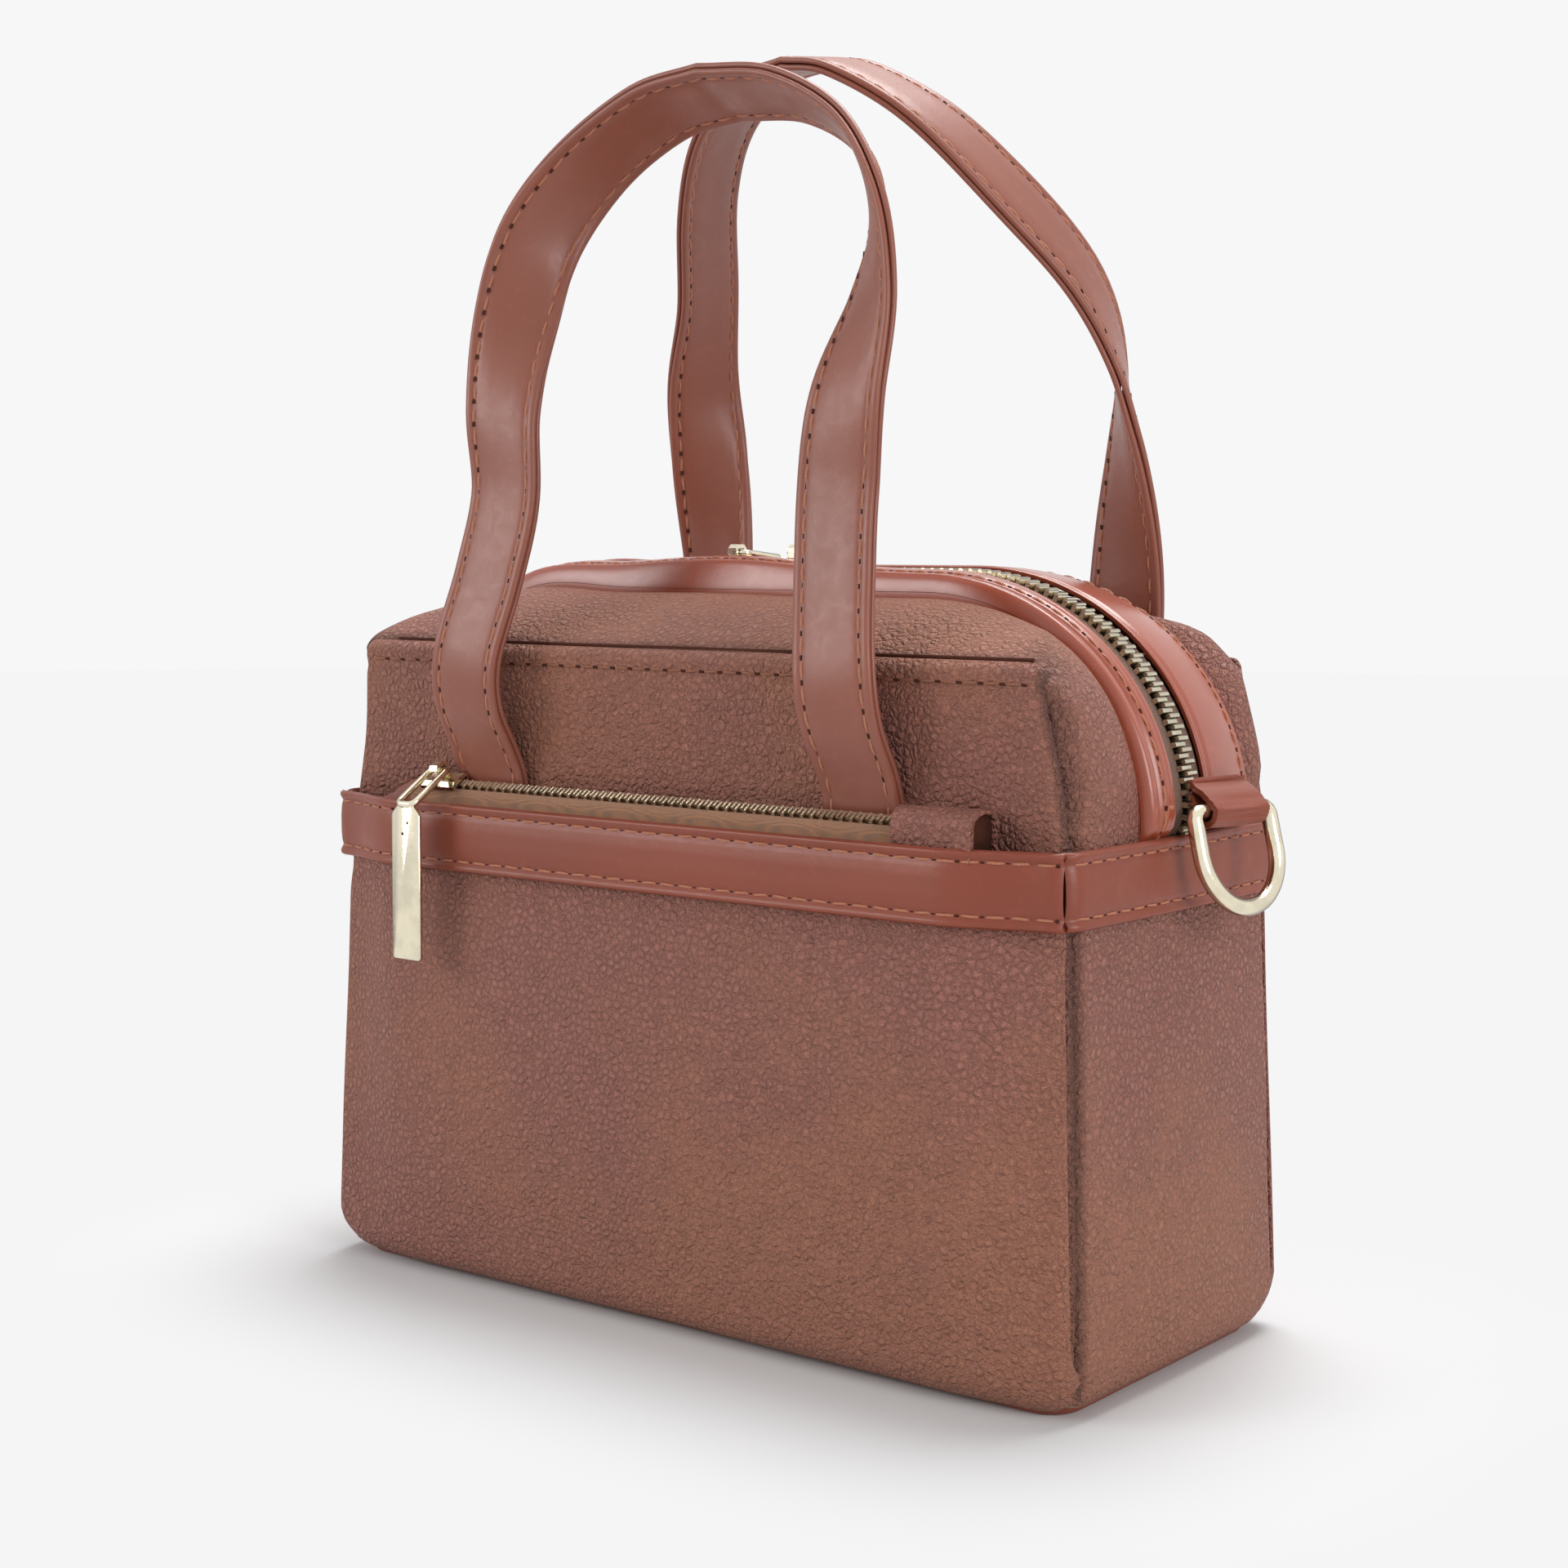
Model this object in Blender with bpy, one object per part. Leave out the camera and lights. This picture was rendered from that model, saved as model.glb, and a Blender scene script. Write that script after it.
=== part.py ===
"""A boxy leather shoulder bag: a pebbled body with a zipped front pocket, a zip that runs
over the top as an arch, smooth leather bands, two strap handles and a ring at each side.

Metres, +Z up. The origin is the centre of the flat underside, +X runs to the right along
the front, and the front faces -Y.
"""
import math

import bpy
import bmesh
from mathutils import Matrix, Vector

# Body
BASE_HALF = 0.1085
BAND_HALF = 0.1038
SEAM_HALF = 0.0978
BODY_DEPTH = 0.0924
BODY_FRONT = BODY_DEPTH / 2
BODY_BACK = BODY_DEPTH / 2
SEAM_SETBACK = 0.0021
BASE_LIFT = 0.0019
LEATHER = 0.0015
GAP = 0.0003
BASE_CORNER = 0.0090
BOTTOM_INSET = 0.0004

# Stiff board and lining
BOARD_THICK = 0.0020
LINING_THICK = 0.0008
LINING_GAP = 0.0006
LINING_DROP = 0.0135

# Bands round the bag
BAND_TOP = 0.1165
SEAM_RISE = 0.0375
SEAM_Z = BAND_TOP + SEAM_RISE
BAND_HEIGHT = 0.0160
BAND_THICK = 0.0015
POCKET_BULGE = 0.0065
BACK_BULGE = 0.0045
CORNER_EASE = 0.0258
BULGE_FLAT_HALF = BAND_HALF - CORNER_EASE

# Arch of the top zip
ARCH_INSET = 0.0003
ARCH_HALF = BAND_HALF - ARCH_INSET
ARCH_RISE = 0.0125
ARCH_TOP = SEAM_Z + ARCH_RISE
ARCH_REACH = 0.0550
ARCH_DROP = 0.0480
SIDE_SWELL = 0.70
FRONT_EDGE_Y = -0.0130
BACK_EDGE_Y = 0.0300
ZIP_Y = 0.0020
ZIP_LIFT = 0.0055
SHOULDER_BULGE = 0.0028

# Zip chain
TOOTH_PITCH = 0.00254
CHAIN_WIDTH = 0.0058
CHAIN_THICK = 0.0024
TOOTH_BITE = 0.0011
TAPE_THICK = 0.0006
FRONT_TAPE = 0.0038
BACK_TAPE = 0.0030
TAPE_TUCK = 0.0016
TAPE_DIP = 0.0014

# Pocket zip
POCKET_ZIP_LEFT_INSET = 0.0318
POCKET_ZIP_RIGHT_INSET = 0.0313
POCKET_ZIP_LEFT = POCKET_ZIP_LEFT_INSET - BAND_HALF
POCKET_ZIP_RIGHT = BAND_HALF - POCKET_ZIP_RIGHT_INSET
POCKET_CHAIN_WIDTH = 0.0038
POCKET_CHAIN_THICK = 0.0010
POCKET_CHAIN_RISE = 0.0041
POCKET_CHAIN_Z = BAND_TOP + POCKET_CHAIN_RISE
POCKET_ZIP_TILT = math.radians(32.0)
POCKET_TAPE_TUCK = 0.0105
POCKET_TAPE_FOOT = BAND_TOP - POCKET_TAPE_TUCK
END_WRAP_LENGTH = 0.0200
END_WRAP_OVERLAP = 0.0060
END_WRAP_WALL = 0.0010
END_WRAP_FLATNESS = 0.90
START_TAB_LENGTH = 0.0180
START_TAB_THICK = 0.0022
WALL_LEAN_START = 0.0100

# Sliders and pulls
SLIDER_LENGTH = 0.0110
SLIDER_WALL = 0.0008
SLIDER_PLATE = 0.0011
SLIDER_SKIRT = 0.0006
CROWN_WIDTH = 0.0024
CROWN_THICK = 0.0009
CROWN_EYE = 0.0012
PIN_RADIUS = 0.0007
LINK_LENGTH = 0.0130
LINK_WIDTH = 0.0052
PULL_LENGTH = 0.0370
PULL_WIDTH = 0.0092
PULL_THICK = 0.0012
KNUCKLE_RADIUS = 0.0017
PIN_PLAY = 0.0004
POCKET_SLIDER_START = 0.0060
POCKET_SLIDER_X = POCKET_ZIP_LEFT + POCKET_SLIDER_START
POCKET_LINK_TILT = math.radians(33.0)
LEFT_SLIDER_X = -0.0165
RIGHT_SLIDER_X = 0.0015
MAIN_LINK_TILT = math.radians(5.0)
MAIN_PULL_TILT = math.radians(20.0)

# Handles
STRAP_WIDTH = 0.0200
STRAP_LAYER = 0.0013
FRONT_TWIST = math.radians(66.0)
FRONT_TWIST_START = 0.35
FRONT_TWIST_SPAN = 0.62
BACK_TWIST = math.radians(-98.0)
BACK_TWIST_START = 0.10
BACK_TWIST_SPAN = 0.70
FRONT_PIVOT_RISE = 0.0125
BACK_PIVOT_RISE = 0.0050
FRONT_PIVOT_Z = BAND_TOP + FRONT_PIVOT_RISE
BACK_PIVOT_Z = BAND_TOP + BACK_PIVOT_RISE
STRAP_SEWN_IN = 0.0180
FRONT_STRAIGHT = 0.0080
BACK_STRAIGHT = 0.0060
FRONT_LEG_INSET = 0.0498
FRONT_LEG_X = BAND_HALF - FRONT_LEG_INSET
FRONT_TOP_Y = -0.0245
FRONT_RISE = 0.1510
BACK_LEG_INSET = 0.0428
BACK_LEG_X = BAND_HALF - BACK_LEG_INSET
BACK_TOP_Y = 0.0065
BACK_RISE = 0.1670

# Rings and their tabs
RING_WIRE = 0.0018
RING_INNER_WIDTH = 0.0205
RING_INNER_DROP = 0.0175
RING_LEAN = math.radians(15.0)
TAB_WIDTH = 0.0180
TAB_THICK = 0.0013
TAB_Y = 0.0085
TAB_TURN = math.radians(12.0)
TAB_RISE = 0.0105
RING_BAR_RISE = 0.0052
RING_BAR_Z = BAND_TOP + RING_BAR_RISE
RING_PLAY = 0.0004
RING_CORNER = 0.0014
TAB_STANDOFF = 0.0014


def remove_all():
    """Empty the scene of objects."""
    for item in list(bpy.data.objects):
        bpy.data.objects.remove(item, do_unlink=True)


def finish(name, colour, roughness, metallic=0.0):
    """A Principled material with one colour."""
    material = bpy.data.materials.new(name)
    material.use_nodes = True
    shader = material.node_tree.nodes["Principled BSDF"]
    shader.inputs["Base Color"].default_value = (*colour, 1.0)
    shader.inputs["Roughness"].default_value = roughness
    shader.inputs["Metallic"].default_value = metallic
    return material


PEBBLED = (0.30, 0.13, 0.095)
SMOOTH = (0.30, 0.10, 0.060)
TAPE = (0.28, 0.15, 0.090)
LINING = (0.10, 0.06, 0.045)
BOARD = (0.20, 0.16, 0.12)
GOLD = (0.80, 0.62, 0.36)


def add_object(name, mesh, colour, roughness=0.6, metallic=0.0):
    """Link a mesh as a named object with its own material."""
    mesh.materials.append(finish(name + "_finish", colour, roughness, metallic))
    item = bpy.data.objects.new(name, mesh)
    bpy.context.scene.collection.objects.link(item)
    return item


def loft(name, sections, colour, roughness=0.6, metallic=0.0):
    """Join closed sections of equal count into one capped solid.

    A section runs out along one face and back along the other. Both halves are split on the
    same diagonal, so that two layers a gap apart stay apart where they twist.
    """
    body = bmesh.new()
    rings = [[body.verts.new(point) for point in section] for section in sections]
    count = len(rings[0])
    for first, second in zip(rings, rings[1:]):
        for i in range(count):
            j = (i + 1) % count
            if 2 * i < count:
                body.faces.new((first[i], first[j], second[j]))
                body.faces.new((first[i], second[j], second[i]))
            else:
                body.faces.new((first[i], first[j], second[i]))
                body.faces.new((first[j], second[j], second[i]))
    body.faces.new(list(reversed(rings[0])))
    body.faces.new(rings[-1])
    bmesh.ops.recalc_face_normals(body, faces=body.faces[:])
    mesh = bpy.data.meshes.new(name)
    body.to_mesh(mesh)
    body.free()
    return add_object(name, mesh, colour, roughness, metallic)


def mix(a, b, share):
    """Straight blend between two numbers or two vectors."""
    return a + (b - a) * share


def smooth_share(value):
    """Ease from 0 to 1."""
    value = min(1.0, max(0.0, value))
    return value * value * (3.0 - 2.0 * value)


def spread(low, high, count):
    """Evenly spaced numbers with both ends."""
    return [mix(low, high, i / (count - 1)) for i in range(count)]


def curve_through(points, per_span):
    """Catmull-Rom curve through a list of vectors."""
    ends = [points[0] * 2 - points[1], *points, points[-1] * 2 - points[-2]]
    out = []
    for a, b, c, d in zip(ends, ends[1:], ends[2:], ends[3:]):
        for i in range(per_span):
            t = i / per_span
            out.append(0.5 * (2 * b + (c - a) * t + (2 * a - 5 * b + 4 * c - d) * t * t
                              + (3 * b - a - 3 * c + d) * t ** 3))
    out.append(points[-1])
    return out


def half_width(z):
    """Half the bag's outer width at a height."""
    if z < BAND_TOP:
        return mix(BASE_HALF, BAND_HALF, z / BAND_TOP)
    return mix(BAND_HALF, SEAM_HALF, (z - BAND_TOP) / (SEAM_Z - BAND_TOP))


def belly(x):
    """Share of a bulge at a distance from the middle: full over the mouth, none at a corner."""
    return smooth_share((BAND_HALF - abs(x)) / (BAND_HALF - BULGE_FLAT_HALF))


def level_share(x):
    """Close to 1 over the width, falling to 0 at the corners."""
    return max(0.0, 1.0 - abs(x / BAND_HALF) ** 16)


# Widths at which the front and back faces are shaped, closer together near the corners
FACE_SHARES = [-1.0, -0.96, -0.92, -0.88, -0.84, -0.80, -0.76, -0.50, -0.25, 0.0,
               0.25, 0.50, 0.76, 0.80, 0.84, 0.88, 0.92, 0.96, 1.0]


# Depth layers of the front pocket's mouth, from the band's face inwards
def band_face(x):
    """Outer face of the front band."""
    return -(BODY_FRONT + POCKET_BULGE * belly(x))


BAND_FOOT = BAND_TOP - BAND_HEIGHT
PANEL_LAYER = BAND_THICK + GAP
TAPE_LAYER = PANEL_LAYER + LEATHER + GAP
CHAIN_LAYER = TAPE_LAYER + TAPE_THICK + POCKET_CHAIN_WIDTH / 2 * math.cos(POCKET_ZIP_TILT)
SLIDER_REACH = (POCKET_CHAIN_WIDTH / 2 + GAP + SLIDER_WALL) * math.cos(POCKET_ZIP_TILT)
STRAP_LAYER_IN = CHAIN_LAYER + SLIDER_REACH + GAP
STRAP_THICK = 2 * STRAP_LAYER + GAP
WALL_LAYER = STRAP_LAYER_IN + STRAP_THICK + GAP
FRONT_STRAP_EDGE = FRONT_LEG_X + STRAP_WIDTH / 2
BACK_STRAP_EDGE = BACK_LEG_X + STRAP_WIDTH / 2


def wall_face(x, z):
    """Outer face of the front wall, behind the pocket and up to the seam."""
    corner = -BODY_FRONT + PANEL_LAYER + LEATHER + GAP
    mouth = mix(corner, band_face(FRONT_STRAP_EDGE) + WALL_LAYER, level_share(x))
    start = BAND_TOP + WALL_LEAN_START
    share = (z - start) / (SEAM_Z - start)
    return mix(mouth, -BODY_FRONT + SEAM_SETBACK, smooth_share(share))


def pocket_face(x, z):
    """Outer face of the pocket's front panel."""
    share = min(1.0, z / BAND_FOOT)
    foot = -BODY_FRONT - 0.3 * POCKET_BULGE * belly(x)
    return mix(foot, band_face(x) + PANEL_LAYER, share)


def back_band_face(x):
    """Outer face of the back band."""
    return BODY_BACK + BACK_BULGE * belly(x)


def back_face(x, z):
    """Outer face of the back panel."""
    under_band = back_band_face(BACK_STRAP_EDGE) - BAND_THICK - STRAP_THICK - 2 * GAP
    seam = BODY_BACK - SEAM_SETBACK
    corner = BODY_BACK - BAND_THICK - GAP
    mouth = mix(corner, under_band, level_share(x))
    if z > BAND_TOP:
        share = (z - BAND_TOP) / (SEAM_Z - BAND_TOP)
        return mix(mouth, seam, smooth_share(share))
    return mix(BODY_BACK, mouth, min(1.0, z / BAND_FOOT))


def panel(name, face, heights, direction):
    """A sewn-in panel: a slab whose outer face follows a function of x and z."""
    sections = []
    for share in FACE_SHARES:
        outer = []
        inner = []
        for z in heights:
            x = share * (half_width(z) - LEATHER - GAP)
            y = face(x, z)
            outer.append(Vector((x, y, z)))
            inner.append(Vector((x, y + direction * LEATHER, z)))
        sections.append(outer + list(reversed(inner)))
    return loft(name, sections, PEBBLED)


def front_panels():
    """The pocket's front, the wall behind it and the back panel."""
    lower = [BASE_LIFT, *spread(BAND_FOOT / 2, BAND_FOOT, 2)]
    upper = spread(BAND_TOP + WALL_LEAN_START, SEAM_Z - LEATHER - GAP, 5)
    panel("front_pocket_panel", pocket_face, [*lower, BAND_TOP - GAP], 1)
    panel("front_panel", wall_face, [*lower, BAND_TOP, *upper], 1)
    panel("back_panel", back_face, [*lower, BAND_TOP, *upper], -1)


def side_panel(name, sign):
    """The lower side, between the front and back corners."""
    sections = []
    for z in spread(BASE_LIFT, BAND_TOP - GAP, 4):
        outer = sign * half_width(z)
        inner = sign * (half_width(z) - LEATHER)
        front = -BODY_FRONT + BAND_THICK + GAP
        back = BODY_BACK - BAND_THICK - GAP
        sections.append([Vector((outer, front, z)), Vector((outer, back, z)),
                         Vector((inner, back, z)), Vector((inner, front, z))])
    return loft(name, sections, PEBBLED)


def round_outline(half_x, half_y, radius, steps=5):
    """Corner points of a rounded rectangle."""
    points = []
    for quarter, (sx, sy) in enumerate(((1, 1), (-1, 1), (-1, -1), (1, -1))):
        for i in range(steps):
            angle = math.pi / 2 * (quarter + i / (steps - 1))
            points.append((sx * (half_x - radius) + radius * math.cos(angle),
                           sy * (half_y - radius) + radius * math.sin(angle)))
    return points


def flat_plate(name, half_x, half_y, radius, low, high, colour, roughness=0.6):
    """A rounded plate that lies flat."""
    outline = round_outline(half_x, half_y, radius)
    sections = [[Vector((x, y, z)) for x, y in outline] for z in (low, high)]
    return loft(name, sections, colour, roughness)


def base():
    """The smooth leather underside and the board that stiffens it."""
    flat_plate("bottom_panel", BASE_HALF - BOTTOM_INSET, BODY_FRONT - BOTTOM_INSET,
               BASE_CORNER, 0.0, BASE_LIFT - GAP, SMOOTH)
    inset = 2 * LEATHER + 2 * GAP
    front_room = -wall_face(0.0, 0.0) - LEATHER - GAP
    board_x = half_width(BASE_LIFT + BOARD_THICK) - inset
    outline = [(x, y) for x, y in round_outline(board_x, front_room, 0.5 * BASE_CORNER)]
    sections = [[Vector((x, y, z)) for x, y in outline]
                for z in (BASE_LIFT, BASE_LIFT + BOARD_THICK)]
    loft("base_board", sections, BOARD)


def lining_outline(inset_x, inset_y, z):
    """Plan of the lining at a height."""
    half_x = half_width(z) - LEATHER - LINING_GAP - inset_x
    front = wall_face(0.0, 0.0) + LEATHER + LINING_GAP + inset_y
    back = BODY_BACK - SEAM_SETBACK - LEATHER - LINING_GAP - inset_y
    return [Vector((half_x, front, z)), Vector((half_x, back, z)),
            Vector((-half_x, back, z)), Vector((-half_x, front, z))]


def lining():
    """The open fabric tub inside the bag."""
    floor = BASE_LIFT + BOARD_THICK + GAP
    extra = 0.0030
    walls = spread(floor, SEAM_Z - LINING_DROP, 5)
    outer = [lining_outline(extra, 0.0, z) for z in walls]
    inner = [lining_outline(extra + LINING_THICK, LINING_THICK, z) for z in reversed(walls)]
    for point in inner[-1]:
        point.z = floor + LINING_THICK
    loft("main_lining", outer + inner, LINING)


def bands():
    """The smooth bands round the front, back and sides."""
    low = BAND_FOOT
    for name, face, sign in (("front_band", band_face, -1), ("back_band", back_band_face, 1)):
        sections = []
        for share in FACE_SHARES:
            x = share * half_width(low)
            y = face(x)
            inner = y - sign * BAND_THICK
            sections.append([Vector((x, y, low)), Vector((x, y, BAND_TOP)),
                             Vector((x, inner, BAND_TOP)), Vector((x, inner, low))])
        loft(name, sections, SMOOTH, 0.45)
    for name, sign in (("right_side_band", 1), ("left_side_band", -1)):
        x_low = sign * (half_width(low) + GAP)
        x_high = sign * (BAND_HALF + GAP)
        sections = []
        for y in (-BODY_FRONT + BAND_THICK + GAP, BODY_BACK - BAND_THICK - GAP):
            sections.append([Vector((x_low, y, low)), Vector((x_high, y, BAND_TOP)),
                             Vector((x_high + sign * BAND_THICK, y, BAND_TOP)),
                             Vector((x_low + sign * BAND_THICK, y, low))])
        loft(name, sections, SMOOTH, 0.45)


# The arch: from its right foot over the top to its left foot
ARCH_FOOT = BAND_TOP + GAP
ARCH_CENTRE_X = ARCH_HALF - ARCH_REACH
ARCH_CENTRE_Z = ARCH_TOP - ARCH_DROP


def arch_half_points(lift, arc_steps, top_steps):
    """Right half of the arch's outline, raised by a lift, as x and z pairs."""
    reach_x = ARCH_REACH + SIDE_SWELL * lift
    reach_z = ARCH_DROP + lift
    points = [(ARCH_CENTRE_X + reach_x, ARCH_FOOT)]
    for i in range(arc_steps + 1):
        angle = math.pi / 2 * i / arc_steps
        points.append((ARCH_CENTRE_X + reach_x * math.cos(angle),
                       ARCH_CENTRE_Z + reach_z * math.sin(angle)))
    for x in spread(ARCH_CENTRE_X, 0.0, top_steps + 1)[1:]:
        points.append((x, ARCH_CENTRE_Z + reach_z))
    return points


def arch_points(lift, arc_steps=10, top_steps=2):
    """The whole arch outline, from right to left."""
    half = arch_half_points(lift, arc_steps, top_steps)
    return half + [(-x, z) for x, z in reversed(half[:-1])]


def box_points(inset, arc_steps=10, top_steps=2):
    """The box seam that each arch point is joined to, from right to left."""
    half = [(half_width(ARCH_FOOT) - inset, ARCH_FOOT)]
    corner_step = arc_steps // 2
    for i in range(arc_steps + 1):
        if i <= corner_step:
            z = mix(ARCH_CENTRE_Z, SEAM_Z, i / corner_step)
            half.append((half_width(z) - inset, min(z, SEAM_Z - inset)))
        else:
            share = (i - corner_step) / (arc_steps - corner_step)
            half.append((mix(half_width(SEAM_Z) - inset, ARCH_CENTRE_X, share), SEAM_Z - inset))
    for x in spread(ARCH_CENTRE_X, 0.0, top_steps + 1)[1:]:
        half.append((x, SEAM_Z - inset))
    return half + [(-x, z) for x, z in reversed(half[:-1])]


def shoulder(name, seam_y, edge_y):
    """The pebbled piece between the box seam and the zip's arch."""
    sections = []
    lip = math.copysign(LEATHER + GAP, edge_y - seam_y)
    stations = [(0.0, seam_y)]
    for share in spread(0.0, 1.0, 4):
        stations.append((share, mix(seam_y + lip, edge_y, share)))
    outer_box = box_points(0.0)
    inner_box = box_points(LEATHER)
    outer_arch = arch_points(0.0)
    inner_arch = arch_points(-LEATHER)
    for i, (box, arch) in enumerate(zip(outer_box, outer_arch)):
        box_in = inner_box[i]
        arch_in = inner_arch[i]
        outer = []
        inner = []
        for share, y in stations:
            swell = SHOULDER_BULGE * math.sin(math.pi * share)
            x = mix(box[0], arch[0], share)
            z = mix(box[1], arch[1], share)
            rise = max(0.0, (z - ARCH_FOOT) / (ARCH_TOP - ARCH_FOOT))
            outer.append(Vector((x, y, z + swell * rise)))
            inner.append(Vector((mix(box_in[0], arch_in[0], share), y,
                                 mix(box_in[1], arch_in[1], share) + swell * rise)))
        sections.append(outer + list(reversed(inner)))
    return loft(name, sections, PEBBLED)


def arch_strip(name, near, far, near_lift, far_lift, thick, colour, roughness=0.5):
    """A strip that runs along the arch, between two depths with their lifts."""
    sections = []
    near_out = arch_points(near_lift)
    near_in = arch_points(near_lift - thick)
    far_out = arch_points(far_lift)
    far_in = arch_points(far_lift - thick)
    for a, b, c, d in zip(near_out, far_out, far_in, near_in):
        sections.append([Vector((a[0], near, a[1])), Vector((b[0], far, b[1])),
                         Vector((c[0], far, c[1])), Vector((d[0], near, d[1]))])
    return loft(name, sections, colour, roughness)


CHAIN_FRONT = ZIP_Y - CHAIN_WIDTH / 2
CHAIN_BACK = ZIP_Y + CHAIN_WIDTH / 2
FRONT_TAPE_EDGE = CHAIN_FRONT - FRONT_TAPE
BACK_TAPE_EDGE = CHAIN_BACK + BACK_TAPE
TAPE_LIFT = ZIP_LIFT - 0.4 * CHAIN_THICK
STRIP_LIFT = TAPE_LIFT + LEATHER + GAP
EDGE_LIFT = 0.0008


def zip_strips():
    """Smooth strips and woven tapes on either side of the top zip."""
    arch_strip("front_zip_strip", FRONT_EDGE_Y + GAP, FRONT_TAPE_EDGE, EDGE_LIFT, STRIP_LIFT,
               LEATHER, SMOOTH)
    arch_strip("back_zip_strip", BACK_TAPE_EDGE, BACK_EDGE_Y - GAP, STRIP_LIFT, EDGE_LIFT,
               LEATHER, SMOOTH)
    arch_strip("front_zip_tape", FRONT_TAPE_EDGE - TAPE_TUCK, CHAIN_FRONT - GAP,
               TAPE_LIFT - TAPE_DIP, TAPE_LIFT, TAPE_THICK, TAPE, 0.9)
    arch_strip("back_zip_tape", CHAIN_BACK + GAP, BACK_TAPE_EDGE + TAPE_TUCK,
               TAPE_LIFT, TAPE_LIFT - TAPE_DIP, TAPE_THICK, TAPE, 0.9)


def resample(points, spacing):
    """Evenly spaced points along a polyline, with the outward normal at each."""
    lengths = [0.0]
    for a, b in zip(points, points[1:]):
        lengths.append(lengths[-1] + math.dist(a, b))
    count = int(lengths[-1] / spacing)
    out = []
    span = 0
    for i in range(count + 1):
        want = i * spacing
        while span < len(points) - 2 and lengths[span + 1] < want:
            span += 1
        a = points[span]
        b = points[span + 1]
        size = lengths[span + 1] - lengths[span]
        share = (want - lengths[span]) / size
        tangent = ((b[0] - a[0]) / size, (b[1] - a[1]) / size)
        out.append((mix(a[0], b[0], share), mix(a[1], b[1], share), tangent[1], -tangent[0]))
    return out


def tooth_row(name, stations, thick, tape_side, meeting, place):
    """A comb of teeth: one edge lies on its tape and the other bites in a zigzag."""
    sections = []
    for i, (u, v, normal_u, normal_v) in enumerate(stations):
        bite = meeting + (0.5 if i % 2 else -0.5) * TOOTH_BITE
        inner_u = u - normal_u * thick
        inner_v = v - normal_v * thick
        sections.append([place(u, v, tape_side), place(u, v, bite),
                         place(inner_u, inner_v, bite), place(inner_u, inner_v, tape_side)])
    return loft(name, sections, GOLD, 0.3, 1.0)


def main_teeth():
    """The two rows of teeth along the arch."""
    line = arch_points(ZIP_LIFT, 16, 1)
    stations = resample(line, TOOTH_PITCH / 2)

    def place(u, v, y):
        return Vector((u, y, v))

    tooth_row("front_zip_teeth", stations, CHAIN_THICK, CHAIN_FRONT, ZIP_Y - GAP / 2, place)
    tooth_row("back_zip_teeth", stations, CHAIN_THICK, CHAIN_BACK, ZIP_Y + GAP / 2, place)


def pocket_line(x):
    """Depth of the middle of the pocket's zip."""
    return band_face(x) + CHAIN_LAYER


def pocket_zip():
    """Tapes and teeth that stand in the pocket's mouth."""
    xs = spread(POCKET_ZIP_LEFT, POCKET_ZIP_RIGHT, 15)
    half = POCKET_CHAIN_WIDTH / 2
    reach = half * math.cos(POCKET_ZIP_TILT)
    rise = half * math.sin(POCKET_ZIP_TILT)
    for name, side in (("pocket_front_tape", -1), ("pocket_back_tape", 1)):
        top = POCKET_CHAIN_Z + side * rise - POCKET_CHAIN_THICK / 2 - GAP
        sections = []
        for x in xs:
            near = pocket_line(x) + side * reach
            far = near + side * TAPE_THICK
            sections.append([Vector((x, near, POCKET_TAPE_FOOT)), Vector((x, near, top)),
                             Vector((x, far, top)), Vector((x, far, POCKET_TAPE_FOOT))])
        loft(name, sections, TAPE, 0.9)
    count = int((POCKET_ZIP_RIGHT - POCKET_ZIP_LEFT) / (TOOTH_PITCH / 2))
    stations = [(POCKET_ZIP_LEFT + i * TOOTH_PITCH / 2, POCKET_CHAIN_THICK / 2, 0.0, 1.0)
                for i in range(count + 1)]
    tilt = Matrix.Rotation(POCKET_ZIP_TILT, 3, "X")

    def place(u, v, across):
        return Vector((u, pocket_line(u), POCKET_CHAIN_Z)) + tilt @ Vector((0.0, across, v))

    tooth_row("pocket_front_teeth", stations, POCKET_CHAIN_THICK, -half, -GAP / 2, place)
    tooth_row("pocket_back_teeth", stations, POCKET_CHAIN_THICK, half, GAP / 2, place)


def pocket_ends():
    """The folded wrap at the zip's closed end and the tab where it starts."""
    half = POCKET_CHAIN_WIDTH / 2 + TAPE_THICK + GAP
    start = POCKET_ZIP_RIGHT - END_WRAP_OVERLAP
    arc_foot = POCKET_CHAIN_Z
    foot = BAND_TOP + GAP
    sections = []
    y = pocket_line(0.0)
    for x in spread(start, start + END_WRAP_LENGTH, 5):
        over = []
        under = []
        for i in range(9):
            angle = math.pi * i / 8
            across = math.cos(angle)
            up = END_WRAP_FLATNESS * math.sin(angle)
            outer = half + END_WRAP_WALL
            over.append(Vector((x, y - outer * across, arc_foot + outer * up)))
            under.append(Vector((x, y - half * across, arc_foot + half * up)))
        front_out = Vector((x, over[0].y, foot))
        back_out = Vector((x, over[-1].y, foot))
        back_in = Vector((x, under[-1].y, foot))
        front_in = Vector((x, under[0].y, foot))
        sections.append([front_out, *over, back_out, back_in, *reversed(under), front_in])
    loft("pocket_zip_end_wrap", sections, PEBBLED)
    sections = []
    half = START_TAB_THICK / 2
    end = POCKET_ZIP_LEFT - GAP
    for x in spread(end - START_TAB_LENGTH, end, 5):
        y = pocket_line(x)
        top = mix(BAND_TOP, POCKET_CHAIN_Z + half, 1.0 - (end - x) / START_TAB_LENGTH)
        sections.append([Vector((x, y - half, POCKET_TAPE_FOOT)), Vector((x, y - half, top)),
                         Vector((x, y + half, top)), Vector((x, y + half, POCKET_TAPE_FOOT))])
    loft("pocket_zip_start_tab", sections, SMOOTH)


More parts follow.
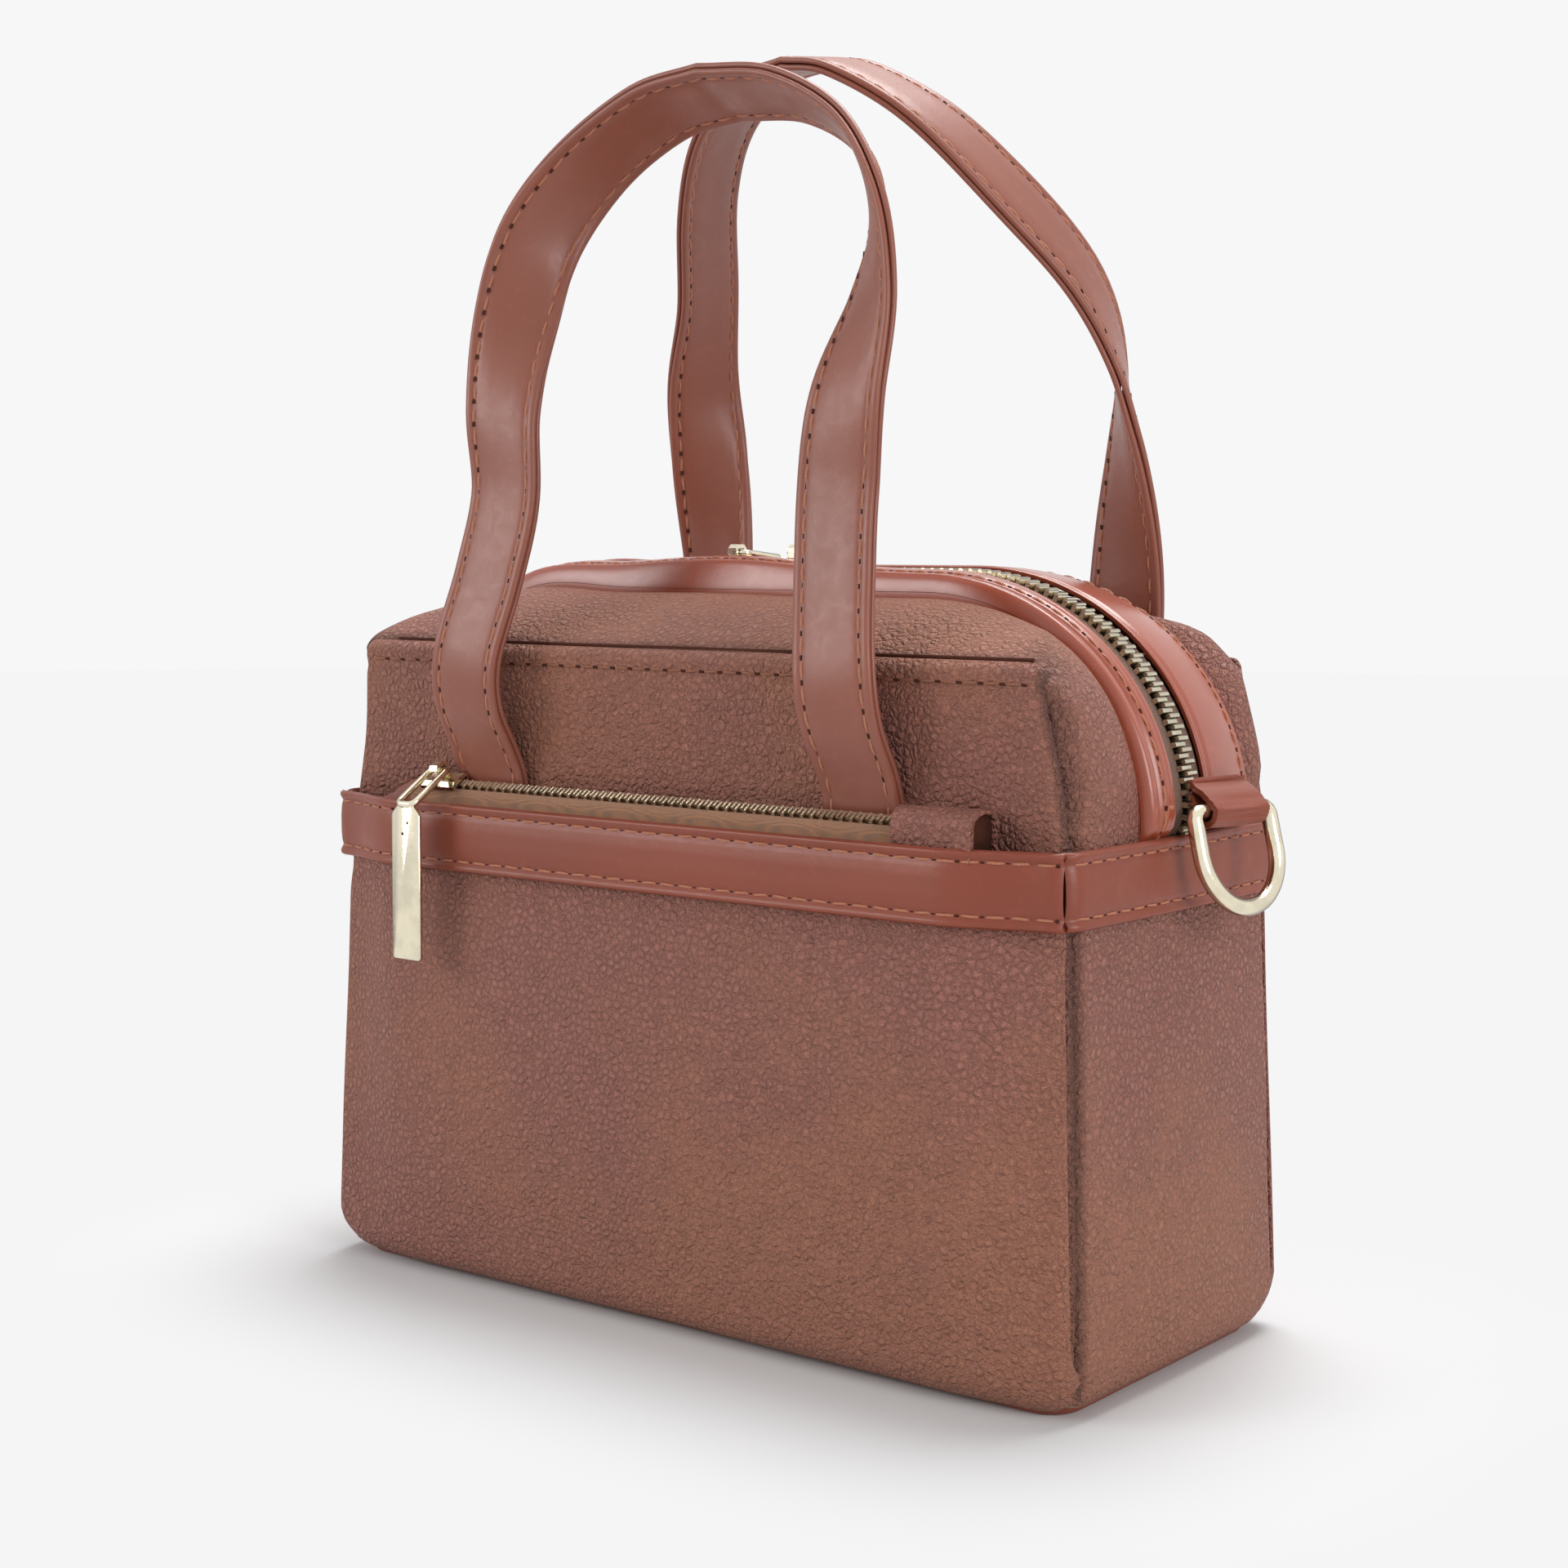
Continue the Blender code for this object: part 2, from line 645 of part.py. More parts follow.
def cutter(item):
    """Mark an object as a tool that only shapes others."""
    item.hide_render = True
    item.display_type = "WIRE"
    return item


def rod(name, start, end, radius, colour=GOLD, sides=12):
    """A round bar between two points."""
    axis = (end - start).normalized()
    across = axis.orthogonal().normalized()
    other = axis.cross(across)
    sections = []
    for centre in (start, end):
        ring = []
        for i in range(sides):
            angle = 2 * math.pi * i / sides
            ring.append(centre + radius * (math.cos(angle) * across + math.sin(angle) * other))
        sections.append(ring)
    return loft(name, sections, colour, 0.3, 1.0)


def change(item, tool, operation):
    """Add a Boolean modifier."""
    step = item.modifiers.new(operation.lower(), "BOOLEAN")
    step.operation = operation
    step.object = tool
    cutter(tool)


def extrude_x(name, low, high, profile, place):
    """Extrude a profile of y and z pairs between two x values, then place it."""
    sections = [[Vector((x, y, z)) for y, z in profile] for x in (low, high)]
    item = loft(name, sections, GOLD, 0.3, 1.0)
    item.matrix_world = place
    return item


def slider(name, centre, tilt, chain_width, chain_thick):
    """A slider that straddles the teeth, with an arched crown for its link.

    The chain's middle is the local origin. The point handed back is the crown's eye, which
    is the link's hinge.
    """
    place = Matrix.Translation(centre) @ Matrix.Rotation(tilt, 4, "X")
    half_x = SLIDER_LENGTH / 2
    low = chain_thick / 2 + GAP
    inner = chain_width / 2 + GAP
    outer = inner + SLIDER_WALL
    skirt = low - SLIDER_SKIRT
    top = low + SLIDER_PLATE
    brow = outer - SLIDER_PLATE
    plate = extrude_x(name, -half_x, half_x, [
        (-outer, skirt), (-outer, low + 0.3 * SLIDER_PLATE), (-brow, top), (brow, top),
        (outer, low + 0.3 * SLIDER_PLATE), (outer, skirt), (inner, skirt), (inner, low),
        (-inner, low), (-inner, skirt)], place)
    pin_z = top + CROWN_EYE + PIN_RADIUS
    eye = PIN_RADIUS + PIN_PLAY
    side = eye + CROWN_THICK
    roof = pin_z + eye
    crown_top = roof + CROWN_THICK
    foot = top - 0.4 * SLIDER_PLATE
    crown = extrude_x(f"{name}_crown", -CROWN_WIDTH / 2, CROWN_WIDTH / 2, [
        (-side, foot), (-side, roof), (-eye, crown_top), (eye, crown_top), (side, roof),
        (side, foot), (eye, foot), (eye, roof), (-eye, roof), (-eye, foot)], place)
    change(plate, crown, "UNION")
    return place @ Vector((0.0, 0.0, pin_z))


def link(name, pin, direction):
    """A frame of wire from the slider's crown to the cross pin that holds the pull."""
    half = LINK_WIDTH / 2
    across = Vector((1.0, 0.0, 0.0))
    far = pin + direction * LINK_LENGTH
    frame = rod(name, far - across * (PULL_WIDTH / 2), far + across * (PULL_WIDTH / 2), PIN_RADIUS)
    near_bar = rod(f"{name}_near", pin - across * (half + PIN_RADIUS / 2),
                   pin + across * (half + PIN_RADIUS / 2), PIN_RADIUS)
    for side in (-1, 1):
        offset = across * (side * half)
        bar = rod(f"{name}_side_{side}", pin + offset - direction * (PIN_RADIUS / 2),
                  far + offset, 0.8 * PIN_RADIUS)
        change(frame, bar, "UNION")
    change(frame, near_bar, "UNION")
    return far


def pull(name, pin, direction):
    """A flat plate that hangs from two knuckles round the link's cross pin."""
    across = Vector((1.0, 0.0, 0.0))
    normal = across.cross(direction)
    half = PULL_WIDTH / 2
    thick = PULL_THICK / 2
    sections = []
    for along in (KNUCKLE_RADIUS * 0.5, PULL_LENGTH - KNUCKLE_RADIUS):
        middle = pin + direction * along
        sections.append([middle + across * a + normal * b
                         for a, b in ((-half, -thick), (half, -thick), (half, thick), (-half, thick))])
    plate = loft(name, sections, GOLD, 0.3, 1.0)
    barrel = rod(f"{name}_barrel", pin - across * half, pin + across * half, KNUCKLE_RADIUS)
    change(plate, barrel, "UNION")
    hole = rod(f"{name}_hole", pin - across * (half * 1.2), pin + across * (half * 1.2),
               PIN_RADIUS + GAP)
    change(plate, hole, "DIFFERENCE")
    notch_half = LINK_WIDTH / 2 + PIN_RADIUS + GAP
    sections = []
    for along in (-2 * KNUCKLE_RADIUS, 1.3 * KNUCKLE_RADIUS):
        middle = pin + direction * along
        reach = 2 * KNUCKLE_RADIUS
        sections.append([middle + across * a + normal * b for a, b in (
            (-notch_half, -reach), (notch_half, -reach), (notch_half, reach), (-notch_half, reach))])
    notch = loft(f"{name}_notch", sections, GOLD)
    change(plate, notch, "DIFFERENCE")


def hanging(tilt):
    """Direction in the YZ plane that points to the front and down by a tilt."""
    return Vector((0.0, -math.cos(tilt), -math.sin(tilt)))


def pocket_slider():
    """The pocket's slider with its link laid over the band and its pull hanging."""
    x = POCKET_SLIDER_X
    centre = Vector((x, pocket_line(x), POCKET_CHAIN_Z))
    pin = slider("pocket_slider", centre, POCKET_ZIP_TILT, POCKET_CHAIN_WIDTH, POCKET_CHAIN_THICK)
    far = link("pocket_pull_link", pin, hanging(POCKET_LINK_TILT))
    pull("pocket_pull_plate", far, Vector((0.0, 0.0, -1.0)))


def main_sliders():
    """Two sliders that meet on top, their pulls laid towards the back."""
    middle = ARCH_TOP + ZIP_LIFT - CHAIN_THICK / 2
    for side, x in (("left", LEFT_SLIDER_X), ("right", RIGHT_SLIDER_X)):
        centre = Vector((x, ZIP_Y, middle))
        pin = slider(f"{side}_slider", centre, 0.0, CHAIN_WIDTH, CHAIN_THICK)
        back = Vector((0.0, math.cos(MAIN_LINK_TILT), -math.sin(MAIN_LINK_TILT)))
        far = link(f"{side}_pull_link", pin, back)
        lie = Vector((0.0, math.cos(MAIN_PULL_TILT), -math.sin(MAIN_PULL_TILT)))
        pull(f"{side}_pull_plate", far, lie)


# Right half of each handle's centre line from its pivot to the top: how far it stands out of
# the pivot's line sideways and from front to back, and its height, all as shares of the rise
FRONT_LEG_SHARES = [(0.002, -0.018, 0.0), (0.0, -0.0563, 0.0728), (-0.0066, -0.0636, 0.1523),
                    (-0.0265, -0.0364, 0.2715), (-0.0364, -0.0166, 0.3907), (-0.0232, -0.0146, 0.5232),
                    (-0.0119, 0.0265, 0.6689), (-0.0318, 0.0629, 0.8013), (-0.106, 0.1033, 0.9139),
                    (-0.2252, 0.1172, 0.9815)]
BACK_LEG_SHARES = [(0.0, 0.006, 0.0), (-0.003, 0.008, 0.10), (0.003, 0.019, 0.21),
                   (0.008, 0.016, 0.33), (0.012, 0.0, 0.48), (0.007, -0.020, 0.59),
                   (-0.033, -0.057, 0.71), (-0.11, -0.15, 0.835), (-0.19, -0.21, 0.925),
                   (-0.29, -0.24, 0.985)]


def leg_line(x, seat, pivot_z, sewn_straight, offsets, rise, top_y):
    """Right half of a handle's centre line, from its sewn end to the top."""
    line = [Vector((x, seat, pivot_z - STRAP_SEWN_IN)),
            Vector((x, seat, pivot_z - sewn_straight))]
    for dx, dy, dz in offsets:
        line.append(Vector((x + dx * rise, seat + dy * rise, pivot_z + dz * rise)))
    return [*line, Vector((0.0, top_y, pivot_z + rise))]


def front_leg():
    """Right half of the front handle's centre line."""
    seat = band_face(FRONT_STRAP_EDGE) + STRAP_LAYER_IN + STRAP_THICK / 2
    return leg_line(FRONT_LEG_X, seat, FRONT_PIVOT_Z, FRONT_STRAIGHT, FRONT_LEG_SHARES,
                    FRONT_RISE, FRONT_TOP_Y)


def back_leg():
    """Right half of the back handle's centre line."""
    seat = back_band_face(BACK_STRAP_EDGE) - BAND_THICK - GAP - STRAP_THICK / 2
    return leg_line(BACK_LEG_X, seat, BACK_PIVOT_Z, BACK_STRAIGHT, BACK_LEG_SHARES,
                    BACK_RISE, BACK_TOP_Y)


def strap_frames(leg, facing, twist, twist_start, twist_span):
    """Centre, face direction and width direction at each point of a whole handle."""
    half = curve_through(leg, 3)
    mirrored = [Vector((-p.x, p.y, p.z)) for p in reversed(half[:-1])]
    line = half + mirrored
    frames = []
    low = leg[3].z
    high = leg[-1].z
    for i, centre in enumerate(line):
        before = line[max(0, i - 1)]
        after = line[min(len(line) - 1, i + 1)]
        tangent = (after - before).normalized()
        side = 1.0 if i <= len(half) - 1 else -1.0
        turn = smooth_share((centre.z - mix(low, high, twist_start)) / (twist_span * (high - low)))
        angle = twist * turn
        out = Vector((0.0, facing, 0.0))
        out = (out - tangent * out.dot(tangent)).normalized()
        inward = tangent.cross(out).normalized()
        if inward.dot(Vector((-side * 1.0, 0.0, -0.6))) < 0:
            inward = -inward
        normal = out * math.cos(angle) + inward * math.sin(angle)
        frames.append((centre, normal, tangent.cross(normal).normalized()))
    return frames


def strap_layer(name, frames, near, far):
    """One leather layer of a strap, between two offsets along its normal."""
    half = STRAP_WIDTH / 2
    sections = []
    for centre, normal, width in frames:
        sections.append([centre + normal * near - width * half,
                         centre + normal * near + width * half,
                         centre + normal * far + width * half,
                         centre + normal * far - width * half])
    return loft(name, sections, SMOOTH, 0.45)


def split_frames(frames, z):
    """Cut the frames of a handle into its right end, free strap and left end at a height."""
    cut = next(i for i, frame in enumerate(frames) if frame[0].z >= z - 1e-6)
    last = len(frames) - 1 - cut
    return frames[:cut + 1], frames[cut:last + 1], frames[last:]


def trimmed(frames, at_end):
    """Shorten a run of frames by half a gap at one end."""
    out = list(frames)
    index, beside = (len(out) - 1, len(out) - 2) if at_end else (0, 1)
    centre, normal, width = out[index]
    towards = (out[beside][0] - centre).normalized()
    out[index] = (centre + towards * (GAP / 2), normal, width)
    return out


def handle(label, leg, facing, pivot_z, *twisting):
    """A handle of two layers, with its two sewn ends."""
    frames = strap_frames(leg, facing, *twisting)
    right, free, left = split_frames(frames, pivot_z)
    free = trimmed(trimmed(free, False), True)
    outer = STRAP_THICK / 2
    inner = outer - STRAP_LAYER
    strap_layer(f"{label}_handle_face", free, inner, outer)
    strap_layer(f"{label}_handle_backing", free, -outer, -inner)
    strap_layer(f"{label}_handle_right_end", trimmed(right, True), -outer, outer)
    strap_layer(f"{label}_handle_left_end", trimmed(left, False), -outer, outer)


def ring_points(bar, drop_direction):
    """Centre line of a D ring: a straight bar and a round bow below it."""
    half = RING_INNER_WIDTH / 2 + RING_WIRE
    drop = RING_INNER_DROP + 2 * RING_WIRE
    along = Vector((0.0, 1.0, 0.0))
    points = []
    straight = drop - half
    for y in spread(-half + RING_CORNER, half - RING_CORNER, 4):
        points.append(bar + along * y)
    for i in range(19):
        angle = math.pi * i / 18
        reach = straight if straight > 0 else 0.0
        y = half * math.cos(angle)
        down = reach + (drop - reach) * math.sin(angle)
        if i in (0, 18):
            down = RING_CORNER
        points.append(bar + along * y + drop_direction * down)
    return points


def side_ring(label, sign):
    """A D ring in a folded leather tab at one side."""
    seat_x = ARCH_CENTRE_X + ARCH_REACH + SIDE_SWELL * STRIP_LIFT
    hold = RING_WIRE + RING_PLAY
    bar_x = seat_x + TAB_STANDOFF + TAB_THICK + hold
    turn = Matrix.Rotation(-sign * TAB_TURN, 4, "Z")
    place = Matrix.Translation((sign * bar_x, TAB_Y, RING_BAR_Z)) @ turn
    lean = Vector((sign * math.sin(RING_LEAN), 0.0, -math.cos(RING_LEAN)))
    curve = bpy.data.curves.new(f"{label}_d_ring", "CURVE")
    curve.dimensions = "3D"
    curve.bevel_depth = RING_WIRE
    curve.bevel_resolution = 2
    points = ring_points(Vector((0.0, 0.0, 0.0)), lean)
    spline = curve.splines.new("POLY")
    spline.points.add(len(points) - 1)
    for i, point in enumerate(points):
        spline.points[i].co = (*point, 1.0)
    spline.use_cyclic_u = True
    curve.materials.append(finish(f"{label}_d_ring_finish", GOLD, 0.25, 1.0))
    ring = bpy.data.objects.new(f"{label}_d_ring", curve)
    bpy.context.scene.collection.objects.link(ring)
    ring.matrix_world = place
    path = []
    rise = TAB_RISE
    middle = hold + TAB_THICK / 2
    path.append((-middle, rise))
    path.append((-middle, 0.25 * rise))
    for i in range(1, 9):
        angle = math.pi + math.pi * i / 9
        path.append((middle * math.cos(angle), middle * math.sin(angle)))
    path.append((middle, 0.10 * rise))
    path.append((0.35 * middle, 0.55 * rise))
    path.append((-middle + TAB_THICK + GAP, 0.80 * rise))
    path.append((-middle + TAB_THICK + GAP, rise))
    sections = []
    for i, (x, z) in enumerate(path):
        before = path[max(0, i - 1)]
        after = path[min(len(path) - 1, i + 1)]
        length = math.dist(before, after)
        out_x = -(after[1] - before[1]) / length
        out_z = (after[0] - before[0]) / length
        half = TAB_THICK / 2
        width = TAB_WIDTH / 2
        sections.append([Vector((sign * (x + out_x * half * a), width * b, z + out_z * half * a))
                         for a, b in ((-1, -1), (1, -1), (1, 1), (-1, 1))])
    tab = loft(f"{label}_ring_tab", sections, SMOOTH, 0.45)
    tab.matrix_world = place


def main():
    """Build every piece of the bag."""
    remove_all()
    base()
    front_panels()
    side_panel("right_side_panel", 1)
    side_panel("left_side_panel", -1)
    lining()
    bands()
    seam_front = -BODY_FRONT + SEAM_SETBACK
    shoulder("front_shoulder", seam_front, FRONT_EDGE_Y)
    shoulder("back_shoulder", BODY_BACK - SEAM_SETBACK, BACK_EDGE_Y)
    zip_strips()
    main_teeth()
    pocket_zip()
    pocket_ends()
    pocket_slider()
    main_sliders()
    handle("front", front_leg(), -1.0, FRONT_PIVOT_Z, FRONT_TWIST, FRONT_TWIST_START,
           FRONT_TWIST_SPAN)
    handle("back", back_leg(), 1.0, BACK_PIVOT_Z, BACK_TWIST, BACK_TWIST_START,
           BACK_TWIST_SPAN)
    side_ring("right", 1)
    side_ring("left", -1)


main()
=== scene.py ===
"""A boxy leather handbag, dressed over its CAD frame.

Pebbled leather panels with turned seams, smooth bands and strips with stitched edges, an arched
metal zip, two strap handles, a zipped front pocket and a ring at each side.
"""

import math

import bpy
import numpy as np
from bpy.props import FloatProperty, FloatVectorProperty, IntProperty, PointerProperty
from mathutils import Matrix, Vector, noise


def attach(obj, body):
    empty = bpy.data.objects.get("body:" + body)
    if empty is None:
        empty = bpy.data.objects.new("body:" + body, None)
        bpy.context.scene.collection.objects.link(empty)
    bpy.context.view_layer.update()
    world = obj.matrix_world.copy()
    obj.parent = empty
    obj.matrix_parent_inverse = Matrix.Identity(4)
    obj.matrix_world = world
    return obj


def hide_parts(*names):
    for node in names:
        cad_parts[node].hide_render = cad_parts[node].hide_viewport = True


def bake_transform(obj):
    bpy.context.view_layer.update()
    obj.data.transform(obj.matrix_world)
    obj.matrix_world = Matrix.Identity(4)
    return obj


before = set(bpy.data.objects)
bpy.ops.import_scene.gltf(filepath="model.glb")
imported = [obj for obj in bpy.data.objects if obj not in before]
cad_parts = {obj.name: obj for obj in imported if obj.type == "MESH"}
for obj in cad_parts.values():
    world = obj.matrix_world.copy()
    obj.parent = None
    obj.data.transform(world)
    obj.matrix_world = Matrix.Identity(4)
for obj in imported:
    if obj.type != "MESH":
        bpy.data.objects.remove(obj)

bl_info = {
    "name": "Boxy Leather Handbag",
    "version": (1, 0, 0),
    "blender": (4, 5, 0),
    "location": "3D View > Sidebar > Handbag",
    "description": "Builds a boxy leather handbag over its CAD frame",
    "category": "Object",
}

# Sizes of the bag's CAD frame, in metres. Its body: half widths, depths, leather and bulges
BASE_HALF = 0.1085
BAND_HALF = 0.1038
SEAM_HALF = 0.0978
BODY_FRONT = 0.0462
BODY_BACK = 0.0462
SEAM_SETBACK = 0.0021
LEATHER = 0.0015
GAP = 0.0003
BASE_CORNER = 0.0090
BAND_TOP = 0.1165
BAND_FOOT = 0.1005
SEAM_Z = 0.1540
BAND_THICK = 0.0015
PANEL_LAYER = BAND_THICK + GAP
POCKET_BULGE = 0.0065
BACK_BULGE = 0.0045
CORNER_EASE = 0.0258
WALL_MOUTH_Y = -0.04085

# Its arched top; a lift raises a sheet off the arch, and widens its legs by a share of that
ARCH_HALF = 0.1035
ARCH_TOP = 0.1665
ARCH_REACH = 0.0550
ARCH_DROP = 0.0480
SIDE_SWELL = 0.70
FRONT_EDGE_Y = -0.0130
BACK_EDGE_Y = 0.0300
ZIP_Y = 0.0020
ZIP_LIFT = 0.0055
STRIP_LIFT = 0.00634
TAPE_LIFT = 0.00454
FRONT_TAPE_EDGE = -0.0047
BACK_TAPE_EDGE = 0.0079

# Its handles
STRAP_WIDTH = 0.0200
STRAP_LAYER = 0.0013
STRAP_THICK = 0.0029
FRONT_PIVOT_Z = 0.1290
BACK_PIVOT_Z = 0.1215
STRAP_SEWN_IN = 0.0180
FRONT_STRAP_X = 0.0640
BACK_STRAP_X = 0.0710
FRONT_SEAT_DEPTH = 0.010095

# Its pocket zip, which leans back by its tilt
POCKET_ZIP_LEFT = -0.0720
POCKET_ZIP_RIGHT = 0.0725
POCKET_CHAIN_Z = 0.1206
POCKET_CHAIN_WIDTH = 0.0038
POCKET_ZIP_TILT = math.radians(32.0)
POCKET_TAPE_FOOT = 0.1060
POCKET_ZIP_DEPTH = 0.00581

# Its rings and tabs, and the pins that the pulls' links turn on
RING_WIRE = 0.0018
RING_BAR_X = 0.112838
RING_BAR_Z = 0.1217
TAB_Y = 0.0085
TAB_TURN = math.radians(12.0)
RING_LEAN = math.radians(15.0)
POCKET_PIN = (-0.066, -0.0489024, 0.1238226)
LEFT_PIN = (-0.0165, 0.002, 0.1753)
RIGHT_PIN = (0.0015, 0.002, 0.1753)
LINK_LENGTH = 0.0130

# The finished pieces over it: a sheet's thickness, a panel's foot, and how far below the top seam
# the corners start to fall; outward directions point away from the heart
HEART = np.array((0.0, 0.0, 0.080))
SHEET = 0.0012
FOOT_Z = 0.0006
FOOT_CURL = 0.0080
WALL_STITCH_DROP = 0.0045
WALL_STITCH_HALF = 0.0915
SIDE_BAND_HALF = 0.0436
ARCH_FOOT = BAND_TOP - 0.004
SEAM_RUN = 0.030

# The photograph's viewpoint: its turn, its tilt down and its lean in degrees, and its place
CAMERA_TURNS = (37.9706, 5.2881, 0.1953)
CAMERA_PLACE = (0.36581, -0.46944, 0.17601)
LAMP_TARGET = (0.0, 0.0, 0.12)

# How the front handle's and the back handle's right half runs, as shares of its rise
FRONT_LEG_SHARES = ((0.002, -0.018, 0.0), (0.0, -0.0563, 0.0728), (-0.0066, -0.0636, 0.1523),
                    (-0.0265, -0.0364, 0.2715), (-0.0364, -0.0166, 0.3907),
                    (-0.0232, -0.0146, 0.5232), (-0.0119, 0.0265, 0.6689),
                    (-0.0318, 0.0629, 0.8013), (-0.106, 0.1033, 0.9139),
                    (-0.2252, 0.1172, 0.9815))
BACK_LEG_SHARES = ((0.0, 0.006, 0.0), (-0.003, 0.008, 0.10), (0.003, 0.019, 0.21),
                   (0.008, 0.016, 0.33), (0.012, 0.0, 0.48), (0.007, -0.020, 0.59),
                   (-0.033, -0.057, 0.71), (-0.11, -0.15, 0.835), (-0.19, -0.21, 0.925),
                   (-0.29, -0.24, 0.985))


def tone(red, green, blue):
    """A colour as it reads on a screen, turned to the linear values that Blender keeps."""
    out = []
    for value in (red, green, blue):
        value /= 255.0
        out.append(value / 12.92 if value <= 0.04045 else ((value + 0.055) / 1.055) ** 2.4)
    return (*out, 1.0)


class LeatherSettings(bpy.types.PropertyGroup):
    """Colours and grain of the leathers."""
    pebbled: FloatVectorProperty(
        name="Pebbled leather", description="Colour of the grained panels",
        default=tone(160, 104, 90), size=4, subtype="COLOR", min=0.0, max=1.0)
    pebbled_warm: FloatVectorProperty(
        name="Warm patches", description="Browner tone that drifts over the panels",
        default=tone(163, 107, 83), size=4, subtype="COLOR", min=0.0, max=1.0)
    band: FloatVectorProperty(
        name="Smooth bands", description="Colour of the bands and zip strips",
        default=tone(134, 62, 41), size=4, subtype="COLOR", min=0.0, max=1.0)
    strap: FloatVectorProperty(
        name="Handles", description="Colour of the strap handles",
        default=tone(138, 78, 61), size=4, subtype="COLOR", min=0.0, max=1.0)
    thread: FloatVectorProperty(
        name="Thread", description="Colour of the stitching",
        default=tone(182, 118, 90), size=4, subtype="COLOR", min=0.0, max=1.0)
    cell_size: FloatProperty(
        name="Grain size", description="Width of one pebble of the grain",
        default=0.0018, subtype="DISTANCE", unit="LENGTH", min=0.0005, max=0.01)
    grain_depth: FloatProperty(
        name="Grain depth", description="Height of the grain",
        default=0.0014, subtype="DISTANCE", unit="LENGTH", min=0.0, max=0.003)


class SewingSettings(bpy.types.PropertyGroup):
    """Stitches and their distance from an edge."""
    pitch: FloatProperty(
        name="Stitch pitch", description="From one needle hole to the next",
        default=0.0052, subtype="DISTANCE", unit="LENGTH", min=0.001, max=0.02)
    edge: FloatProperty(
        name="Edge distance", description="From the stitch row to the edge of the leather",
        default=0.0025, subtype="DISTANCE", unit="LENGTH", min=0.001, max=0.01)
    thread_radius: FloatProperty(
        name="Thread radius", description="Half the thread's thickness",
        default=0.00036, subtype="DISTANCE", unit="LENGTH", min=0.0001, max=0.001)
    seed: IntProperty(
        name="Seed", description="Fixes the small turns of the stitches", default=7, min=0)


class MetalSettings(bpy.types.PropertyGroup):
    """The pale gold fittings and the zip's teeth."""
    gold: FloatVectorProperty(
        name="Pale gold", description="Colour of the fittings",
        default=tone(240, 230, 204), size=4, subtype="COLOR", min=0.0, max=1.0)
    tooth_pitch: FloatProperty(
        name="Tooth pitch", description="From one tooth to the next across both rows",
        default=0.00254, subtype="DISTANCE", unit="LENGTH", min=0.001, max=0.01)
    ring_wire: FloatProperty(
        name="Ring wire", description="Half the thickness of the rings' wire",
        default=RING_WIRE, subtype="DISTANCE", unit="LENGTH", min=0.0005, max=0.004)


class StageSettings(bpy.types.PropertyGroup):
    """Floor, backdrop and lamps."""
    floor: FloatVectorProperty(
        name="Floor", description="Colour of the floor",
        default=tone(219, 219, 220), size=4, subtype="COLOR", min=0.0, max=1.0)
    sky: FloatProperty(
        name="Ambient light", description="Strength of the even light from all round",
        default=0.46, min=0.0, max=3.0)
    key: FloatProperty(
        name="Key lamp", description="Power of the large front lamp",
        default=9.0, unit="POWER", min=0.0, max=200.0)
    top: FloatProperty(
        name="Top lamp", description="Power of the overhead lamp",
        default=17.0, unit="POWER", min=0.0, max=200.0)
    lens: FloatProperty(
        name="Lens", description="Focal length on a 36 mm sensor", default=58.06,
        min=10.0, max=300.0)


SETTINGS = (("bag_leather", LeatherSettings), ("bag_sewing", SewingSettings),
            ("bag_metal", MetalSettings), ("bag_stage", StageSettings))


# Curves and surfaces

def mix(a, b, share):
    """Straight blend."""
    return a + (b - a) * share


def ease(value):
    """Smooth step from 0 to 1."""
    value = np.clip(value, 0.0, 1.0)
    return value * value * (3.0 - 2.0 * value)


def hump(value, centre, width):
    """A smooth bump of height 1."""
    return np.exp(-((value - centre) / width) ** 2)


def half_width(z):
    """Half the bag's outer width at a height."""
    low = mix(BASE_HALF, BAND_HALF, z / BAND_TOP)
    high = mix(BAND_HALF, SEAM_HALF, (z - BAND_TOP) / (SEAM_Z - BAND_TOP))
    return np.where(z < BAND_TOP, low, high)


def belly(x):
    """Share of a bulge: full over the middle and none at a corner."""
    return ease((BAND_HALF - np.abs(x)) / CORNER_EASE)


def level_share(x):
    """Close to 1 over the width and 0 at the corners."""
    return np.maximum(0.0, 1.0 - np.abs(x / BAND_HALF) ** 16)


def band_face(x):
    """Outer face of the front band."""
    return -(BODY_FRONT + POCKET_BULGE * belly(x))


def back_band_face(x):
    """Outer face of the back band."""
    return BODY_BACK + BACK_BULGE * belly(x)


def wall_face(x, z):
    """Outer face of the front wall behind the pocket."""
    corner = -BODY_FRONT + PANEL_LAYER + LEATHER + GAP
    mouth = mix(corner, WALL_MOUTH_Y, level_share(x))
    share = (z - BAND_TOP - 0.010) / (SEAM_Z - BAND_TOP - 0.010)
    return mix(mouth, -BODY_FRONT + SEAM_SETBACK, ease(share))


def pocket_face(x, z):
    """Outer face of the pocket's front panel."""
    share = np.minimum(1.0, z / BAND_FOOT)
    foot = -BODY_FRONT - 0.3 * POCKET_BULGE * belly(x)
    return mix(foot, band_face(x) + PANEL_LAYER, share)


def back_face(x, z):
    """Outer face of the back panel."""
    under_band = back_band_face(BACK_STRAP_X) - BAND_THICK - STRAP_THICK - 2 * GAP
    corner = BODY_BACK - BAND_THICK - GAP
    mouth = mix(corner, under_band, level_share(x))
    above = mix(mouth, BODY_BACK - SEAM_SETBACK, ease((z - BAND_TOP) / (SEAM_Z - BAND_TOP)))
    below = mix(BODY_BACK, mouth, np.minimum(1.0, z / BAND_FOOT))
    return np.where(z > BAND_TOP, above, below)


